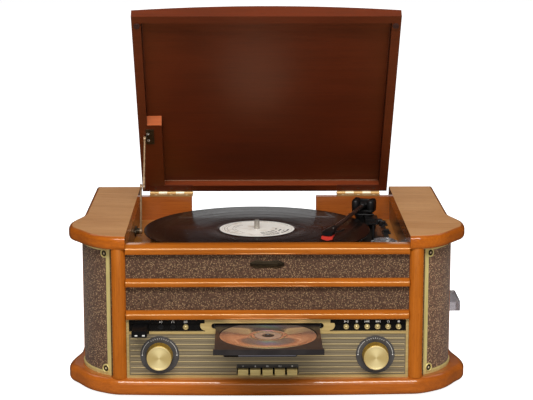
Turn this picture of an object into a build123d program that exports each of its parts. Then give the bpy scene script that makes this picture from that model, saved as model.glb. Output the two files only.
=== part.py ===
"""Wooden stereo music centre: turntable, disc player, cassette deck, radio and two speakers.

Millimetres. +X is the cabinet's right as seen from the front, +Y runs to its back, +Z is up.
The origin lies on the surface it stands on, under the middle of its outline with the disc
tray drawn out. Depths that end in _y are measured backwards from the fascia's front face.
"""
from build123d import *
from math import asin, atan2, cos, degrees, radians, sin
import os

os.makedirs("parts", exist_ok=True)

# --- heights above the table -------------------------------------------------
foot_height = 4.0
foot_round = 1.0
plinth_thickness = 21.5
body_height = 166.5
cap_thickness = 17.5
plinth_top = foot_height + plinth_thickness
cap_under = plinth_top + body_height

# --- plan of the cabinet -----------------------------------------------------
well_half = 177.5          # half the clear width between the inner walls
pillar_width = 18.0
pillar_depth = 17.0
pillar_proud = 8.0         # pillar and rail noses stand this far in front of the fascia
pillar_flat = 3.0          # flat left between the pillar's rounded corners
wall = 9.5
speaker_width = 43.2       # how far the bulged speaker reaches past the pillar
speaker_near_y = 7.0
speaker_far_y = 79.0
speaker_bow = 10.8         # rise of the grille's arc over its chord
speaker_near_gap = 2.5     # pillar to the grille's near end
side_inset = 4.7           # the flat side lies this far inside the bulge
waist_y = 136.0            # where the bulge has run out into the flat side
body_depth = 322.0
cap_back_over = 6.0
cap_side_over = 6.5
cap_bulge_over = 15.5
plinth_side_over = 12.5
plinth_bulge_over = 18.3
plinth_back_over = 8.0
plinth_bow = 16.5          # the plinth's front stands this far proud at the middle
edge_round = 6.0
plinth_round = 7.0
fascia_y = -111.8
cap_front_over = 3.8       # cap's front edge beyond the pillar noses
cap_front_lean = 0.6       # how much further forward its hidden inner end would run
cap_far_y = 75.0           # depth at which the cap is widest
plinth_far_y = 71.0
# The moulded corners: shares of the way from the inner wall and the front edge to the
# widest point, across and in depth.
cap_corner_shares = [(0.33, 0.055), (0.58, 0.21), (0.72, 0.37), (0.86, 0.56)]
plinth_corner_shares = [(0.08, 0.055), (0.39, 0.16), (0.64, 0.345), (0.885, 0.69)]

pillar_outer = well_half + pillar_width
bulge_x = pillar_outer + speaker_width
side_x = bulge_x - side_inset

# --- front frame -------------------------------------------------------------
bottom_rail = (102.0, 113.0)
middle_rail = (144.0, 154.0)
top_rail = (185.5, 198.0)
rail_depth = 16.0
seam = 0.05                # hairline where a rail butts against a pillar
cloth_thickness = 3.5
rail_flat = 0.6            # half the flat left on a rail's nose

# --- fascia ------------------------------------------------------------------
fascia_thickness = 3.0
stripe_thickness = 1.2
trim_thickness = 2.4
trim_width = 3.2
line_z = (82.3, 85.6)      # gold line between the black strip and the striped plate
control_z = 91.0
button_r = 3.5
button_rise = 3.0
button_stem = 9.0
button_pitch = 13.2
first_button_x = 99.0
button_count = 6
function_x = -103.0
headphone_x = -119.0
line_in_x = -134.2
button_round = 1.5
socket_r = 3.0
jack_r = 1.8
jack_length = 14.0
running = 0.2              # clearance round what slides or turns in a hole
shaft_running = 0.06       # radial clearance of the turned shafts
key_count = 5
key_width = 13.0
key_height = 8.0
key_pitch = 15.5
key_floor_z = 29.3
key_proud = 8.0
key_length = 18.0
key_round = 0.8
label_bar_height = 4.6
display_x = (-55.0, 36.5)
display_z = (52.0, 80.0)
display_thickness = 1.6
knob_x = 136.0
knob_z = 55.0
knob_r = 16.8
knob_front_r = 15.5
knob_depth = 15.5
knob_round = 1.0
knob_gap = 1.2             # knob back to the dial plate's face
dial_thickness = 1.0
shaft_r = 3.0
pot_r = 11.0
pot_depth = 10.0
usb_x = -159.5
usb_size = (19.0, 34.0, 8.2)
plug_size = (12.0, 13.0, 4.5)
usb_stand_off = 1.0        # stick's body to the fascia
usb_round = 1.2
usb_margin = 1.0           # notch in the trim round the stick

# --- disc player -------------------------------------------------------------
bezel_half = 78.5
bezel_z = (82.3, 102.0)
bezel_lobe_r = 6.2
bezel_lobe_lift = 1.0
slot_half = 67.0
slot_z = (89.0, 96.3)
disc_r = 60.0
disc_bore_r = 7.5
disc_thickness = 1.2
disc_y = -47.0
tray_half = 65.0
tray_thickness = 4.0
tray_sill = 0.6            # tray's underside over the slot's lower edge
lip_half = 66.5
lip_height = 7.0
lip_thickness = 4.0
lip_drop = 0.5             # lip's middle under the tray's
tray_stop_gap = 0.4        # lip to the trim when the tray is in
lip_y = -116.0
recess_margin = 1.0
recess_depth = 2.0
tray_tail = 40.0           # how much of the tray stays inside when it is out
mechanism_wall = 3.0
mechanism_gap = 1.0
tray_glide_r = 2.0
tray_glide_inset = 4.0

# --- turntable ---------------------------------------------------------------
deck_top = 164.0
deck_thickness = 4.0
deck_front_y = 9.0
spindle_x = -12.3
record_front_gap = 3.7     # record's edge to the cloth behind the rails
spindle_r = 3.6
spindle_top = 196.0
spindle_chamfer = 1.2
record_top = 183.5
record_thickness = 1.8
record_r = 151.0
spindle_y = cloth_thickness + record_front_gap + record_r
mat_thickness = 3.0
mat_r = 146.0
platter_r = 142.0
platter_skin = 4.0
platter_lip = 4.0
platter_lift = 4.0         # platter rim over the deck
pulley_lift = 1.0          # pulley's underside over the platter rim's
pulley_cap = 0.6
drive_rim_r = 100.0
drive_rim_wall = 3.0
hub_r = 12.0
pulley_r = 7.0
pulley_reach = 116.0
pulley_bearing = 135.0     # degrees from +X to the motor, seen from above
belt_thickness = 1.2
belt_height = 4.5
belt_gap = 0.3
motor_r = 18.0
motor_height = 24.0
motor_shaft_r = 1.0

# --- tonearm -----------------------------------------------------------------
arm_x = 138.0
arm_setback = 60.0
arm_y = body_depth - arm_setback
arm_z = 195.0
arm_length = 195.0
arm_bearing = 252.4        # degrees from +X to the head, seen from above
arm_tube_r = 3.0
column_r = 12.0
column_flange_r = 17.0
column_flange = 3.0
yoke_gap = 0.4
yoke_across = 32.0
yoke_along = 24.0
yoke_top = 204.0
yoke_slot = 11.0
yoke_slot_run = 0.5
yoke_floor = 3.2
journal_r = 2.0
journal_length = 12.0
barrel_r = 4.5
barrel_gap = 1.0           # barrel to the yoke's floor
yoke_round = 2.0
head_length = 34.0
head_width = 15.0
head_height = 7.0
stylus_size = (12.0, 8.0, 3.0)
tip_width = 2.0
tip_gap = 0.3
rest_x = 143.6
rest_ahead = 105.0
rest_y = arm_y - rest_ahead
rest_post_r = 2.0
rest_shelf = (8.0, 8.0, 1.6)
rest_lip = 4.5
rest_lip_thickness = 1.2
rest_gap = 0.3             # arm tube to the rest's shelf
cue_x = 158.5
cue_ahead = 28.0
cue_y = arm_y - cue_ahead
cue_z = 176.0
cue_r = 2.0
cue_boss = 5.0
cue_length = 22.0
cue_pin_over = 1.0
switch_x = 166.0
speed_behind = 10.0
speed_y = arm_y + speed_behind
stop_ahead = 45.0
stop_y = arm_y - stop_ahead
switch_cap = (7.0, 7.0, 5.5)
switch_stem = (3.0, 3.0)
switch_travel = 5.0
switch_lift = 0.3
switch_round = 1.0

# --- lid ---------------------------------------------------------------------
lid_angle = 53.0           # opening angle at rest, held by the stay
hinge_over = 3.0           # hinge axis behind the cabinet's back
hinge_y = body_depth + hinge_over
hinge_z = 199.75
lid_gap = 3.0              # lid side to cap
lid_rear_gap = 3.0         # lid's back edge to the hinge axis
lid_front_over = 13.0      # lid's front edge beyond the fascia when shut
lid_reach = hinge_y + lid_front_over
lid_under = 0.75           # underside over the hinge axis when shut
lid_wall = 12.0
lid_recess = 9.5
lid_edge = 2.5
lid_crown = 8.0
stay_block = (20.0, 147.0) # width, and how far it reaches from the hinge axis
stay_block_edge = 0.5
bumper_r = 4.0
bumper_height = 2.0
bumper_inset = (7.0, 16.0)
hinge_length = 61.0
hinge_centre = 133.5
hinge_knuckles = 5
leaf_thickness = 1.5
leaf_depth = 15.0
knuckle_r = 2.7
pin_r = 1.5
knuckle_seat = 0.5         # how deep the barrels sit beside their block's top
corner_block_x = (-104.0, 73.0)
corner_block_depth = 12.0

# --- lid stay ----------------------------------------------------------------
stay_foot_ahead = 126.0
stay_low_y = hinge_y - stay_foot_ahead
stay_low_z = 171.6
stay_high_reach = 116.0    # hinge axis to the upper pivot, along the lid
stay_high_drop = 5.0       # upper pivot below the lid's underside
elbow_behind = 15.0
stay_elbow_y = stay_low_y + elbow_behind
stay_elbow_z = 229.9
stay_low_x = -170.2
stay_high_x = -166.4
link_r = 1.4
eye_r = 4.0
eye_thickness = 3.0
stud_r = 2.0
stay_sleeve_r = 2.0
stay_sleeve_length = 14.0
bracket_thickness = 1.6
bracket_length = 28.0
bracket_width = 11.0

# --- cassette deck -----------------------------------------------------------
cassette_size = (100.4, 63.8, 12.0)
cassette_out_x = 257.5
cassette_behind = 13.0
cassette_y = waist_y + cassette_behind
cassette_top = 92.0
cassette_gap = 0.6
cassette_case_wall = 3.0
cassette_play = 0.3
cassette_case_x = 152.0
cassette_round = 2.0

# --- inside ------------------------------------------------------------------
board_thickness = 1.6
board_size = (230.0, 110.0)
board_setback = 92.0
board_y = body_depth - board_setback
board_stand = 6.0
heat_sink_height = 24.0
transformer_size = (60.0, 50.0, 45.0)
coil_size = (42.0, 70.0, 30.0)
coil_round = 6.0
transformer_x = -94.0
transformer_ahead = 110.0
transformer_y = board_y - transformer_ahead
rear_cover_size = (240.0, 3.0, 76.0)
rear_cover_z = 75.0
vent_count = 8
vent_size = (36.0, 3.0)
vent_pitch = 7.0
phono_r = 4.2
phono_length = 8.0
phono_bore_r = 1.6
driver_r = 32.0
driver_flange = 2.5
driver_depth = 11.5
magnet_r = 16.0
magnet_depth = 5.0
baffle_thickness = 5.0
baffle_gap = 0.4           # baffle to the grille cloth
side_wall_gap = 1.2        # grille's far end to the side wall
side_wall_flat = 3.8       # straight run before the side wall tapers in
side_taper = 30.0          # how far short of the waist the taper ends
grille_thickness = 3.1
grille_frame = 1.2
grille_border = 5.0
grille_ear_r = 5.6
grille_ear_in = (2.6, 3.4)  # ear centres inside the opening's near corners
foot_r = 11.0
foot_inset = (45.0, 42.0)


def behind(depth):
    """The y of a point this far behind the fascia's front face."""
    return fascia_y + depth


def keep(piece, name):
    """Label a finished sub-part and write it to its own file."""
    piece.part.label = name
    export_step(piece.part, f"parts/{name}.step")


def block(low, high):
    """A box between two corners."""
    size = [b - a for a, b in zip(low, high)]
    middle = [(a + b) / 2 for a, b in zip(low, high)]
    with Locations(tuple(middle)):
        Box(*size)


def drill(low, high):
    """Take the box between two corners away."""
    size = [b - a for a, b in zip(low, high)]
    middle = [(a + b) / 2 for a, b in zip(low, high)]
    with Locations(tuple(middle)):
        Box(*size, mode=Mode.SUBTRACT)


def rod_y(x, z, radius, near, far, mode=Mode.ADD):
    """A round bar along the depth, between two depths."""
    with BuildSketch(Plane((x, behind(near), z), x_dir=(1, 0, 0), z_dir=(0, 1, 0))) as disc:
        Circle(radius)
    extrude(disc.sketch, amount=far - near, mode=mode)


def rod_z(x, depth, radius, low, high, mode=Mode.ADD):
    """An upright round bar between two heights."""
    with BuildSketch(Plane.XY.offset(low)) as disc:
        with Locations((x, behind(depth))):
            Circle(radius)
    extrude(disc.sketch, amount=high - low, mode=mode)


def rod_x(depth, z, radius, near, far, mode=Mode.ADD):
    """A round bar across the cabinet between two x positions."""
    with BuildSketch(Plane((near, behind(depth), z), x_dir=(0, 1, 0), z_dir=(1, 0, 0))) as disc:
        Circle(radius)
    extrude(disc.sketch, amount=far - near, mode=mode)


def corner_points(widest, front, far, shares):
    """Points of a moulded corner, ending at the widest point."""
    points = [
        (well_half + across * (widest - well_half), behind(front + back * (far - front)))
        for across, back in shares
    ]
    return points + [(widest, behind(far))]


# --- plinth ------------------------------------------------------------------
plinth_x = bulge_x + plinth_bulge_over
plinth_corner = corner_points(plinth_x, -plinth_bow, plinth_far_y, plinth_corner_shares)
plinth_mid_bow = (plinth_corner[0][1] - behind(-plinth_bow)) / 4
with BuildPart() as base_plinth:
    with BuildSketch(Plane.XY.offset(foot_height)):
        with BuildLine():
            front = ThreePointArc(
                (0, behind(-plinth_bow)),
                (plinth_corner[0][0] / 2, behind(-plinth_bow) + plinth_mid_bow),
                plinth_corner[0],
            )
            Spline(*plinth_corner, tangents=[front % 1, (0, 1)])
            Spline(
                plinth_corner[-1],
                (side_x + plinth_side_over, behind(waist_y)),
                tangents=[(0, 1), (0, 1)],
                tangent_scalars=[1.0, 1.0],
            )
            Polyline(
                (side_x + plinth_side_over, behind(waist_y)),
                (side_x + plinth_side_over, behind(body_depth + plinth_back_over)),
                (0, behind(body_depth + plinth_back_over)),
            )
            mirror(about=Plane.YZ)
        make_face()
    extrude(amount=plinth_thickness)
    fillet(base_plinth.faces().sort_by(Axis.Z)[-1].outer_wire().edges(), plinth_round)
    fillet(base_plinth.faces().sort_by(Axis.Z)[0].outer_wire().edges(), plinth_round)
keep(base_plinth, "base_plinth")

with BuildPart() as rubber_feet:
    for x in (-1, 1):
        for depth in (foot_inset[1], body_depth - foot_inset[1]):
            rod_z(x * (side_x - foot_inset[0]), depth, foot_r, 0, foot_height)
    fillet(rubber_feet.faces().filter_by(Axis.Z).group_by(Axis.Z)[0].edges(), foot_round)
keep(rubber_feet, "rubber_feet")

# --- speakers ----------------------------------------------------------------
# The grille is an arc in plan from beside the pillar to the flat side.
near_point = Vector(pillar_outer + speaker_near_gap, behind(speaker_near_y), 0)
far_point = Vector(bulge_x, behind(speaker_far_y), 0)
chord = far_point - near_point
grille_r = ((chord.length / 2) ** 2 + speaker_bow**2) / (2 * speaker_bow)
along = chord.normalized()
outward = Vector(along.Y, -along.X, 0)
chord_middle = (near_point + far_point) * 0.5
arc_centre = chord_middle - outward * (grille_r - speaker_bow)
half_turn = degrees(asin(chord.length / 2 / grille_r))
outward_angle = degrees(atan2(outward.Y, outward.X))
frame_inner_r = grille_r - grille_frame
cloth_inner_r = frame_inner_r - grille_thickness
baffle_plane = chord_middle - outward * (grille_frame + grille_thickness + baffle_gap)


def ring_sector(outer, inner):
    """An upright curved wall between plinth and cap, in the grille's arc."""
    with BuildSketch(Plane.XY.offset(plinth_top)) as sector:
        with BuildLine():
            centre = (arc_centre.X, arc_centre.Y)
            far = CenterArc(centre, outer, outward_angle - half_turn, 2 * half_turn)
            close = CenterArc(centre, inner, outward_angle - half_turn, 2 * half_turn)
            Line(far @ 0, close @ 0)
            Line(far @ 1, close @ 1)
        make_face()
    extrude(sector.sketch, amount=body_height)


facing_grille = Plane(
    origin=(arc_centre.X, arc_centre.Y, plinth_top + body_height / 2),
    x_dir=(along.X, along.Y, 0),
    z_dir=(outward.X, outward.Y, 0),
)
window_width = chord.length - 2 * grille_border
window_height = body_height - 2 * grille_border

with BuildPart() as speaker_grilles:
    ring_sector(frame_inner_r, cloth_inner_r)
    mirror(about=Plane.YZ)
keep(speaker_grilles, "speaker_grilles")

with BuildPart() as grille_frames:
    ring_sector(grille_r, frame_inner_r)
    with BuildSketch(facing_grille):
        with Locations((grille_border, 0)):
            Rectangle(window_width + 2 * grille_border, window_height)
        for z in (-1, 1):
            ear = (grille_ear_in[0] - window_width / 2, z * (window_height / 2 - grille_ear_in[1]))
            with Locations(ear):
                Circle(grille_ear_r, mode=Mode.SUBTRACT)
    extrude(amount=grille_r + grille_border, mode=Mode.SUBTRACT)
    mirror(about=Plane.YZ)
keep(grille_frames, "grille_frames")

facing_baffle = Plane(
    origin=(baffle_plane.X, baffle_plane.Y, plinth_top + body_height / 2),
    x_dir=(along.X, along.Y, 0),
    z_dir=(outward.X, outward.Y, 0),
)
baffle_half = chord.length / 2 - grille_border
cassette_low = cassette_top - cassette_size[2]
cassette_near = cassette_y - cassette_size[1] / 2
cassette_far = cassette_y + cassette_size[1] / 2
case_low = cassette_low - cassette_gap - cassette_case_wall
case_high = cassette_top + cassette_gap + cassette_case_wall
case_near = cassette_near - cassette_gap - cassette_case_wall
case_far = cassette_far + cassette_gap + cassette_case_wall

wall_near = speaker_far_y + side_wall_gap
with BuildPart() as side_walls:
    for side in (-1, 1):
        inner, outer = sorted((side * well_half, side * (well_half + wall)))
        block(
            (inner, behind(pillar_depth - pillar_proud), plinth_top),
            (outer, behind(body_depth - wall), cap_under),
        )
    drill(
        (well_half, behind(case_near), case_low),
        (well_half + wall, behind(case_far), case_high),
    )
    with BuildSketch(Plane.XY.offset(plinth_top)):
        with BuildLine():
            Polyline(
                (bulge_x, behind(wall_near)),
                (bulge_x, behind(wall_near + side_wall_flat)),
                (side_x, behind(waist_y - side_taper)),
                (side_x, behind(body_depth)),
                (side_x - wall, behind(body_depth)),
                (side_x - wall, behind(wall_near + side_inset)),
                (bulge_x - wall, behind(wall_near)),
                close=True,
            )
        make_face()
        mirror(about=Plane.YZ)
    extrude(amount=body_height)
    drill(
        (side_x - wall, behind(cassette_near - cassette_gap), cassette_low - cassette_gap),
        (side_x, behind(cassette_far + cassette_gap), cassette_top + cassette_gap),
    )
    with BuildSketch(facing_baffle):
        Rectangle(2 * baffle_half, body_height)
        Circle(driver_r - driver_flange, mode=Mode.SUBTRACT)
    baffle = extrude(amount=-baffle_thickness)
    mirror(baffle, about=Plane.YZ)
keep(side_walls, "side_walls")

with BuildPart() as speakers:
    driver_mouth = facing_baffle.offset(-baffle_thickness)
    with BuildSketch(driver_mouth):
        Circle(driver_r)
    extrude(amount=-driver_flange)
    with BuildSketch(driver_mouth.offset(-driver_flange)):
        Circle(driver_r - driver_flange)
    with BuildSketch(driver_mouth.offset(-driver_depth)):
        Circle(magnet_r)
    loft()
    with BuildSketch(driver_mouth.offset(-driver_depth)):
        Circle(magnet_r)
    extrude(amount=-magnet_depth)
    with BuildSketch(driver_mouth):
        Circle(driver_r - 2 * driver_flange)
    with BuildSketch(driver_mouth.offset(-driver_depth + driver_flange)):
        Circle(magnet_r / 2)
    loft(mode=Mode.SUBTRACT)
    mirror(about=Plane.YZ)
keep(speakers, "speakers")

# --- caps, pillars, rails and back -------------------------------------------
cap_x = bulge_x + cap_bulge_over
cap_front = -pillar_proud - cap_front_over
cap_corner = [
    (well_half - 2 * edge_round, behind(cap_front - cap_front_lean)),
    (well_half, behind(cap_front)),
] + corner_points(cap_x, cap_front, cap_far_y, cap_corner_shares)
with BuildPart() as top_caps:
    with BuildSketch(Plane.XY.offset(cap_under)):
        with BuildLine():
            Spline(*cap_corner, tangents=[(1, 0.05), (0, 1)])
            Spline(
                cap_corner[-1],
                (side_x + cap_side_over, behind(waist_y)),
                tangents=[(0, 1), (0, 1)],
                tangent_scalars=[1.0, 1.0],
            )
            Polyline(
                (side_x + cap_side_over, behind(waist_y)),
                (side_x + cap_side_over, behind(body_depth + cap_back_over)),
                (cap_corner[0][0], behind(body_depth + cap_back_over)),
                cap_corner[0],
            )
        make_face()
    extrude(amount=cap_thickness)
    fillet(top_caps.faces().sort_by(Axis.Z)[-1].outer_wire().edges(), edge_round)
    fillet(top_caps.faces().sort_by(Axis.Z)[0].outer_wire().edges(), edge_round)
    split(bisect_by=Plane.YZ.offset(well_half), keep=Keep.TOP)
    mirror(about=Plane.YZ)
keep(top_caps, "top_caps")

with BuildPart() as front_frame:
    nose = (pillar_width - pillar_flat) / 2
    for side in (-1, 1):
        inner, outer = sorted((side * well_half, side * pillar_outer))
        with BuildSketch(Plane.XY.offset(plinth_top)) as pillar_plan:
            with Locations(((inner + outer) / 2, behind(pillar_depth / 2 - pillar_proud))):
                Rectangle(pillar_width, pillar_depth)
            fillet(pillar_plan.vertices().group_by(Axis.Y)[0], nose)
        extrude(amount=body_height)
    for low, high in (bottom_rail, middle_rail, top_rail):
        across = Plane((-well_half + seam, 0, 0), x_dir=(0, 1, 0), z_dir=(1, 0, 0))
        with BuildSketch(across) as rail_end:
            with Locations((behind(rail_depth / 2 - pillar_proud), (low + high) / 2)):
                Rectangle(rail_depth, high - low)
            fillet(rail_end.vertices().group_by(Axis.Y)[0], (high - low) / 2 - rail_flat)
        extrude(amount=2 * (well_half - seam))
keep(front_frame, "front_frame")

with BuildPart() as cloth_panels:
    for low, high in ((bottom_rail[1], middle_rail[0]), (middle_rail[1], top_rail[0])):
        block((-well_half, behind(0), low), (well_half, behind(cloth_thickness), high))
keep(cloth_panels, "cloth_panels")

back_near = body_depth - wall
hinge_block_top = hinge_z - knuckle_r + knuckle_seat
with BuildPart() as rear_panel:
    inner_x = side_x - wall
    block((-inner_x, behind(back_near), plinth_top), (inner_x, behind(body_depth), deck_top))
    for side in (-1, 1):
        low_x, high_x = sorted((side * well_half, side * inner_x))
        block((low_x, behind(back_near), deck_top), (high_x, behind(body_depth), cap_under))
    corner_near = body_depth - corner_block_depth
    for low_x, high_x in ((-well_half, corner_block_x[0]), (corner_block_x[1], well_half)):
        block((low_x, behind(corner_near), deck_top), (high_x, behind(body_depth), hinge_block_top))
keep(rear_panel, "rear_panel")

with BuildPart() as rear_cover:
    length, cover, height = rear_cover_size
    block(
        (-length / 2, behind(body_depth), rear_cover_z - height / 2),
        (length / 2, behind(body_depth + cover), rear_cover_z + height / 2),
    )
    for x in (-length / 3, 0):
        for i in range(vent_count):
            z = rear_cover_z + (i - (vent_count - 1) / 2) * vent_pitch
            drill(
                (x - vent_size[0] / 2, behind(body_depth), z - vent_size[1] / 2),
                (x + vent_size[0] / 2, behind(body_depth + cover), z + vent_size[1] / 2),
            )
    phono_x = length / 3
    for z in (rear_cover_z - vent_pitch, rear_cover_z + vent_pitch):
        phono_near, phono_far = body_depth + cover, body_depth + phono_length
        rod_y(phono_x, z, phono_r, phono_near, phono_far)
        rod_y(phono_x, z, phono_bore_r, phono_near, phono_far, Mode.SUBTRACT)
keep(rear_cover, "rear_cover")

# --- fascia ------------------------------------------------------------------
fascia_floor = plinth_top
fascia_top = bottom_rail[0]
label_bar_top = key_floor_z + key_height + label_bar_height
key_span = key_count * key_pitch
button_places = [first_button_x + i * button_pitch for i in range(button_count)]
key_places = [(i - (key_count - 1) / 2) * key_pitch for i in range(key_count)]
plug_width, plug_length, plug_height = plug_size

with BuildPart() as fascia_panel:
    block(
        (-well_half, behind(0), fascia_floor),
        (well_half, behind(fascia_thickness), fascia_top),
    )
    drill(
        (-slot_half - running, behind(0), slot_z[0]),
        (slot_half + running, behind(fascia_thickness), slot_z[1]),
    )
    drill(
        (display_x[0], behind(0), display_z[0]),
        (display_x[1], behind(display_thickness), display_z[1]),
    )
    for x in button_places + [function_x]:
        rod_y(x, control_z, button_r + running, 0, fascia_thickness, Mode.SUBTRACT)
    for x in (headphone_x, line_in_x):
        rod_y(x, control_z, socket_r, 0, fascia_thickness, Mode.SUBTRACT)
    for x in (-knob_x, knob_x):
        rod_y(x, knob_z, shaft_r + running, 0, fascia_thickness, Mode.SUBTRACT)
    for x in key_places:
        half = key_width / 2 + running
        drill(
            (x - half, behind(0), key_floor_z - running),
            (x + half, behind(fascia_thickness), key_floor_z + key_height + running),
        )
    plug_half, plug_rise = plug_width / 2 + running, plug_height / 2 + running
    drill(
        (usb_x - plug_half, behind(0), control_z - plug_rise),
        (usb_x + plug_half, behind(fascia_thickness), control_z + plug_rise),
    )
keep(fascia_panel, "fascia_panel")

plate_half = well_half - trim_width
with BuildPart() as stripe_plate:
    block(
        (-plate_half, behind(-stripe_thickness), fascia_floor + trim_width),
        (plate_half, behind(0), line_z[0]),
    )
    drill(
        (display_x[0], behind(-stripe_thickness), display_z[0]),
        (display_x[1], behind(0), display_z[1]),
    )
    drill(
        (-key_span / 2, behind(-stripe_thickness), fascia_floor + trim_width),
        (key_span / 2, behind(0), label_bar_top),
    )
    for x in (-knob_x, knob_x):
        rod_y(x, knob_z, shaft_r + running, -stripe_thickness, 0, Mode.SUBTRACT)
keep(stripe_plate, "stripe_plate")

front_plane = Plane((0, behind(0), 0), x_dir=(1, 0, 0), z_dir=(0, -1, 0))
with BuildPart() as fascia_trim:
    trim_middle = (fascia_floor + fascia_top) / 2
    bezel_middle = (bezel_z[0] + bezel_z[1]) / 2
    with BuildSketch(front_plane):
        with Locations((0, trim_middle)):
            Rectangle(2 * well_half, fascia_top - fascia_floor)
            inside_height = fascia_top - fascia_floor - 2 * trim_width
            Rectangle(2 * plate_half, inside_height, mode=Mode.SUBTRACT)
        with Locations((0, (line_z[0] + line_z[1]) / 2)):
            Rectangle(2 * well_half, line_z[1] - line_z[0])
        with Locations((0, bezel_middle)):
            Rectangle(2 * bezel_half, bezel_z[1] - bezel_z[0])
        for x in (-bezel_half, bezel_half):
            with Locations((x, bezel_middle + bezel_lobe_lift)):
                Circle(bezel_lobe_r)
        with Locations((0, (slot_z[0] + slot_z[1]) / 2)):
            slot_height = slot_z[1] - slot_z[0]
            slot_width = 2 * slot_half + slot_height
            RectangleRounded(slot_width, slot_height, slot_height / 2 - seam, mode=Mode.SUBTRACT)
    extrude(amount=trim_thickness)
    drill(
        (usb_x - usb_size[0] / 2 - usb_margin, behind(-trim_thickness), line_z[0]),
        (usb_x + usb_size[0] / 2 + usb_margin, behind(0), control_z),
    )
keep(fascia_trim, "fascia_trim")

with BuildPart() as display_window:
    block(
        (display_x[0], behind(0), display_z[0]),
        (display_x[1], behind(display_thickness), display_z[1]),
    )
keep(display_window, "display_window")

for name, x in [("function_button", function_x)] + [
    (f"deck_button_{i + 1}", x) for i, x in enumerate(button_places)
]:
    with BuildPart() as button:
        rod_y(x, control_z, button_r, -button_rise, button_stem - button_rise)
        fillet(button.faces().sort_by(Axis.Y)[0].edges(), button_round)
    keep(button, name)

for i, x in enumerate(key_places):
    with BuildPart() as key:
        block(
            (x - key_width / 2, behind(-key_proud), key_floor_z),
            (x + key_width / 2, behind(key_length - key_proud), key_floor_z + key_height),
        )
        fillet(key.faces().sort_by(Axis.Y)[0].edges(), key_round)
    keep(key, f"piano_key_{i + 1}")

knob_near = -stripe_thickness - dial_thickness - knob_gap
for name, x in (("volume_knob", -knob_x), ("tuning_knob", knob_x)):
    with BuildPart() as knob:
        with BuildSketch(front_plane.offset(-knob_near)):
            with Locations((x, knob_z)):
                Circle(knob_r)
        with BuildSketch(front_plane.offset(-knob_near + knob_depth)):
            with Locations((x, knob_z)):
                Circle(knob_front_r)
        loft()
        fillet(knob.faces().sort_by(Axis.Y)[0].edges(), knob_round)
        rod_y(x, knob_z, shaft_r, knob_near, fascia_thickness + pot_depth)
    keep(knob, name)

with BuildPart() as usb_stick:
    width, length, height = usb_size
    block(
        (usb_x - width / 2, behind(-length - usb_stand_off), control_z - height / 2),
        (usb_x + width / 2, behind(-usb_stand_off), control_z + height / 2),
    )
    fillet(usb_stick.edges().filter_by(Axis.Y), usb_round)
    block(
        (usb_x - plug_width / 2, behind(-usb_stand_off), control_z - plug_height / 2),
        (usb_x + plug_width / 2, behind(plug_length - usb_stand_off), control_z + plug_height / 2),
    )
keep(usb_stick, "usb_stick")

# --- disc player -------------------------------------------------------------
tray_floor = slot_z[0] + tray_sill
tray_top = tray_floor + tray_thickness
recess_floor = tray_top - recess_depth
tray_travel = -lip_y - lip_thickness - trim_thickness - tray_stop_gap
with BuildPart() as disc_tray:
    block((-tray_half, behind(lip_y), tray_floor), (tray_half, behind(tray_tail), tray_top))
    lip_middle = (tray_floor + tray_top) / 2 - lip_drop
    block(
        (-lip_half, behind(lip_y), lip_middle - lip_height / 2),
        (lip_half, behind(lip_y + lip_thickness), lip_middle + lip_height / 2),
    )
    rod_z(0, disc_y, disc_r + recess_margin, recess_floor, tray_top, Mode.SUBTRACT)
    rod_z(0, disc_y, disc_bore_r * 2, tray_floor, recess_floor, Mode.SUBTRACT)
keep(disc_tray, "disc_tray")

with BuildPart() as compact_disc:
    rod_z(0, disc_y, disc_r, recess_floor, recess_floor + disc_thickness)
    rod_z(0, disc_y, disc_bore_r, recess_floor, recess_floor + disc_thickness, Mode.SUBTRACT)
keep(compact_disc, "compact_disc")

mechanism_half = tray_half + mechanism_gap
mechanism_far = tray_tail + tray_travel + mechanism_gap
mechanism_low = tray_floor - mechanism_gap
mechanism_high = slot_z[1] + mechanism_gap
mechanism_top = mechanism_high + mechanism_wall
with BuildPart() as cd_mechanism:
    case_half = mechanism_half + mechanism_wall
    block(
        (-case_half, behind(fascia_thickness), mechanism_low - mechanism_wall),
        (case_half, behind(mechanism_far + mechanism_wall), mechanism_top),
    )
    drill(
        (-mechanism_half, behind(fascia_thickness), mechanism_low),
        (mechanism_half, behind(mechanism_far), mechanism_high),
    )
    for x in (-mechanism_half, mechanism_half):
        for depth in (mechanism_far / 3, mechanism_far):
            rod_z(x, depth, mechanism_wall, plinth_top, mechanism_low - mechanism_wall)
    for x in (-tray_half + tray_glide_inset, tray_half - tray_glide_inset):
        rod_z(x, tray_tail / 2, tray_glide_r, mechanism_low, tray_floor)
keep(cd_mechanism, "cd_mechanism")

# --- turntable ---------------------------------------------------------------
mat_top = record_top - record_thickness
platter_top = mat_top - mat_thickness
platter_floor = deck_top + platter_lift
pulley_x = spindle_x + pulley_reach * cos(radians(pulley_bearing))
pulley_y = spindle_y + pulley_reach * sin(radians(pulley_bearing))
pulley_floor = platter_floor + pulley_lift

with BuildPart() as deck:
    block(
        (-well_half, behind(deck_front_y), deck_top - deck_thickness),
        (well_half, behind(corner_near), deck_top),
    )
    rod_z(pulley_x, pulley_y, pulley_r, deck_top - deck_thickness, deck_top, Mode.SUBTRACT)
    slot_side = switch_stem[0] / 2 + running
    slot_end = switch_stem[1] / 2 + running
    for depth in (speed_y, stop_y):
        drill(
            (switch_x - slot_side, behind(depth - slot_end), deck_top - deck_thickness),
            (switch_x + slot_side, behind(depth + switch_travel + slot_end), deck_top),
        )
keep(deck, "deck")

with BuildPart() as spindle:
    rod_z(spindle_x, spindle_y, spindle_r, deck_top, spindle_top)
    chamfer(spindle.faces().sort_by(Axis.Z)[-1].edges(), spindle_chamfer)
    rod_z(spindle_x, spindle_y, hub_r, deck_top, platter_floor)
keep(spindle, "spindle")

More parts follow.
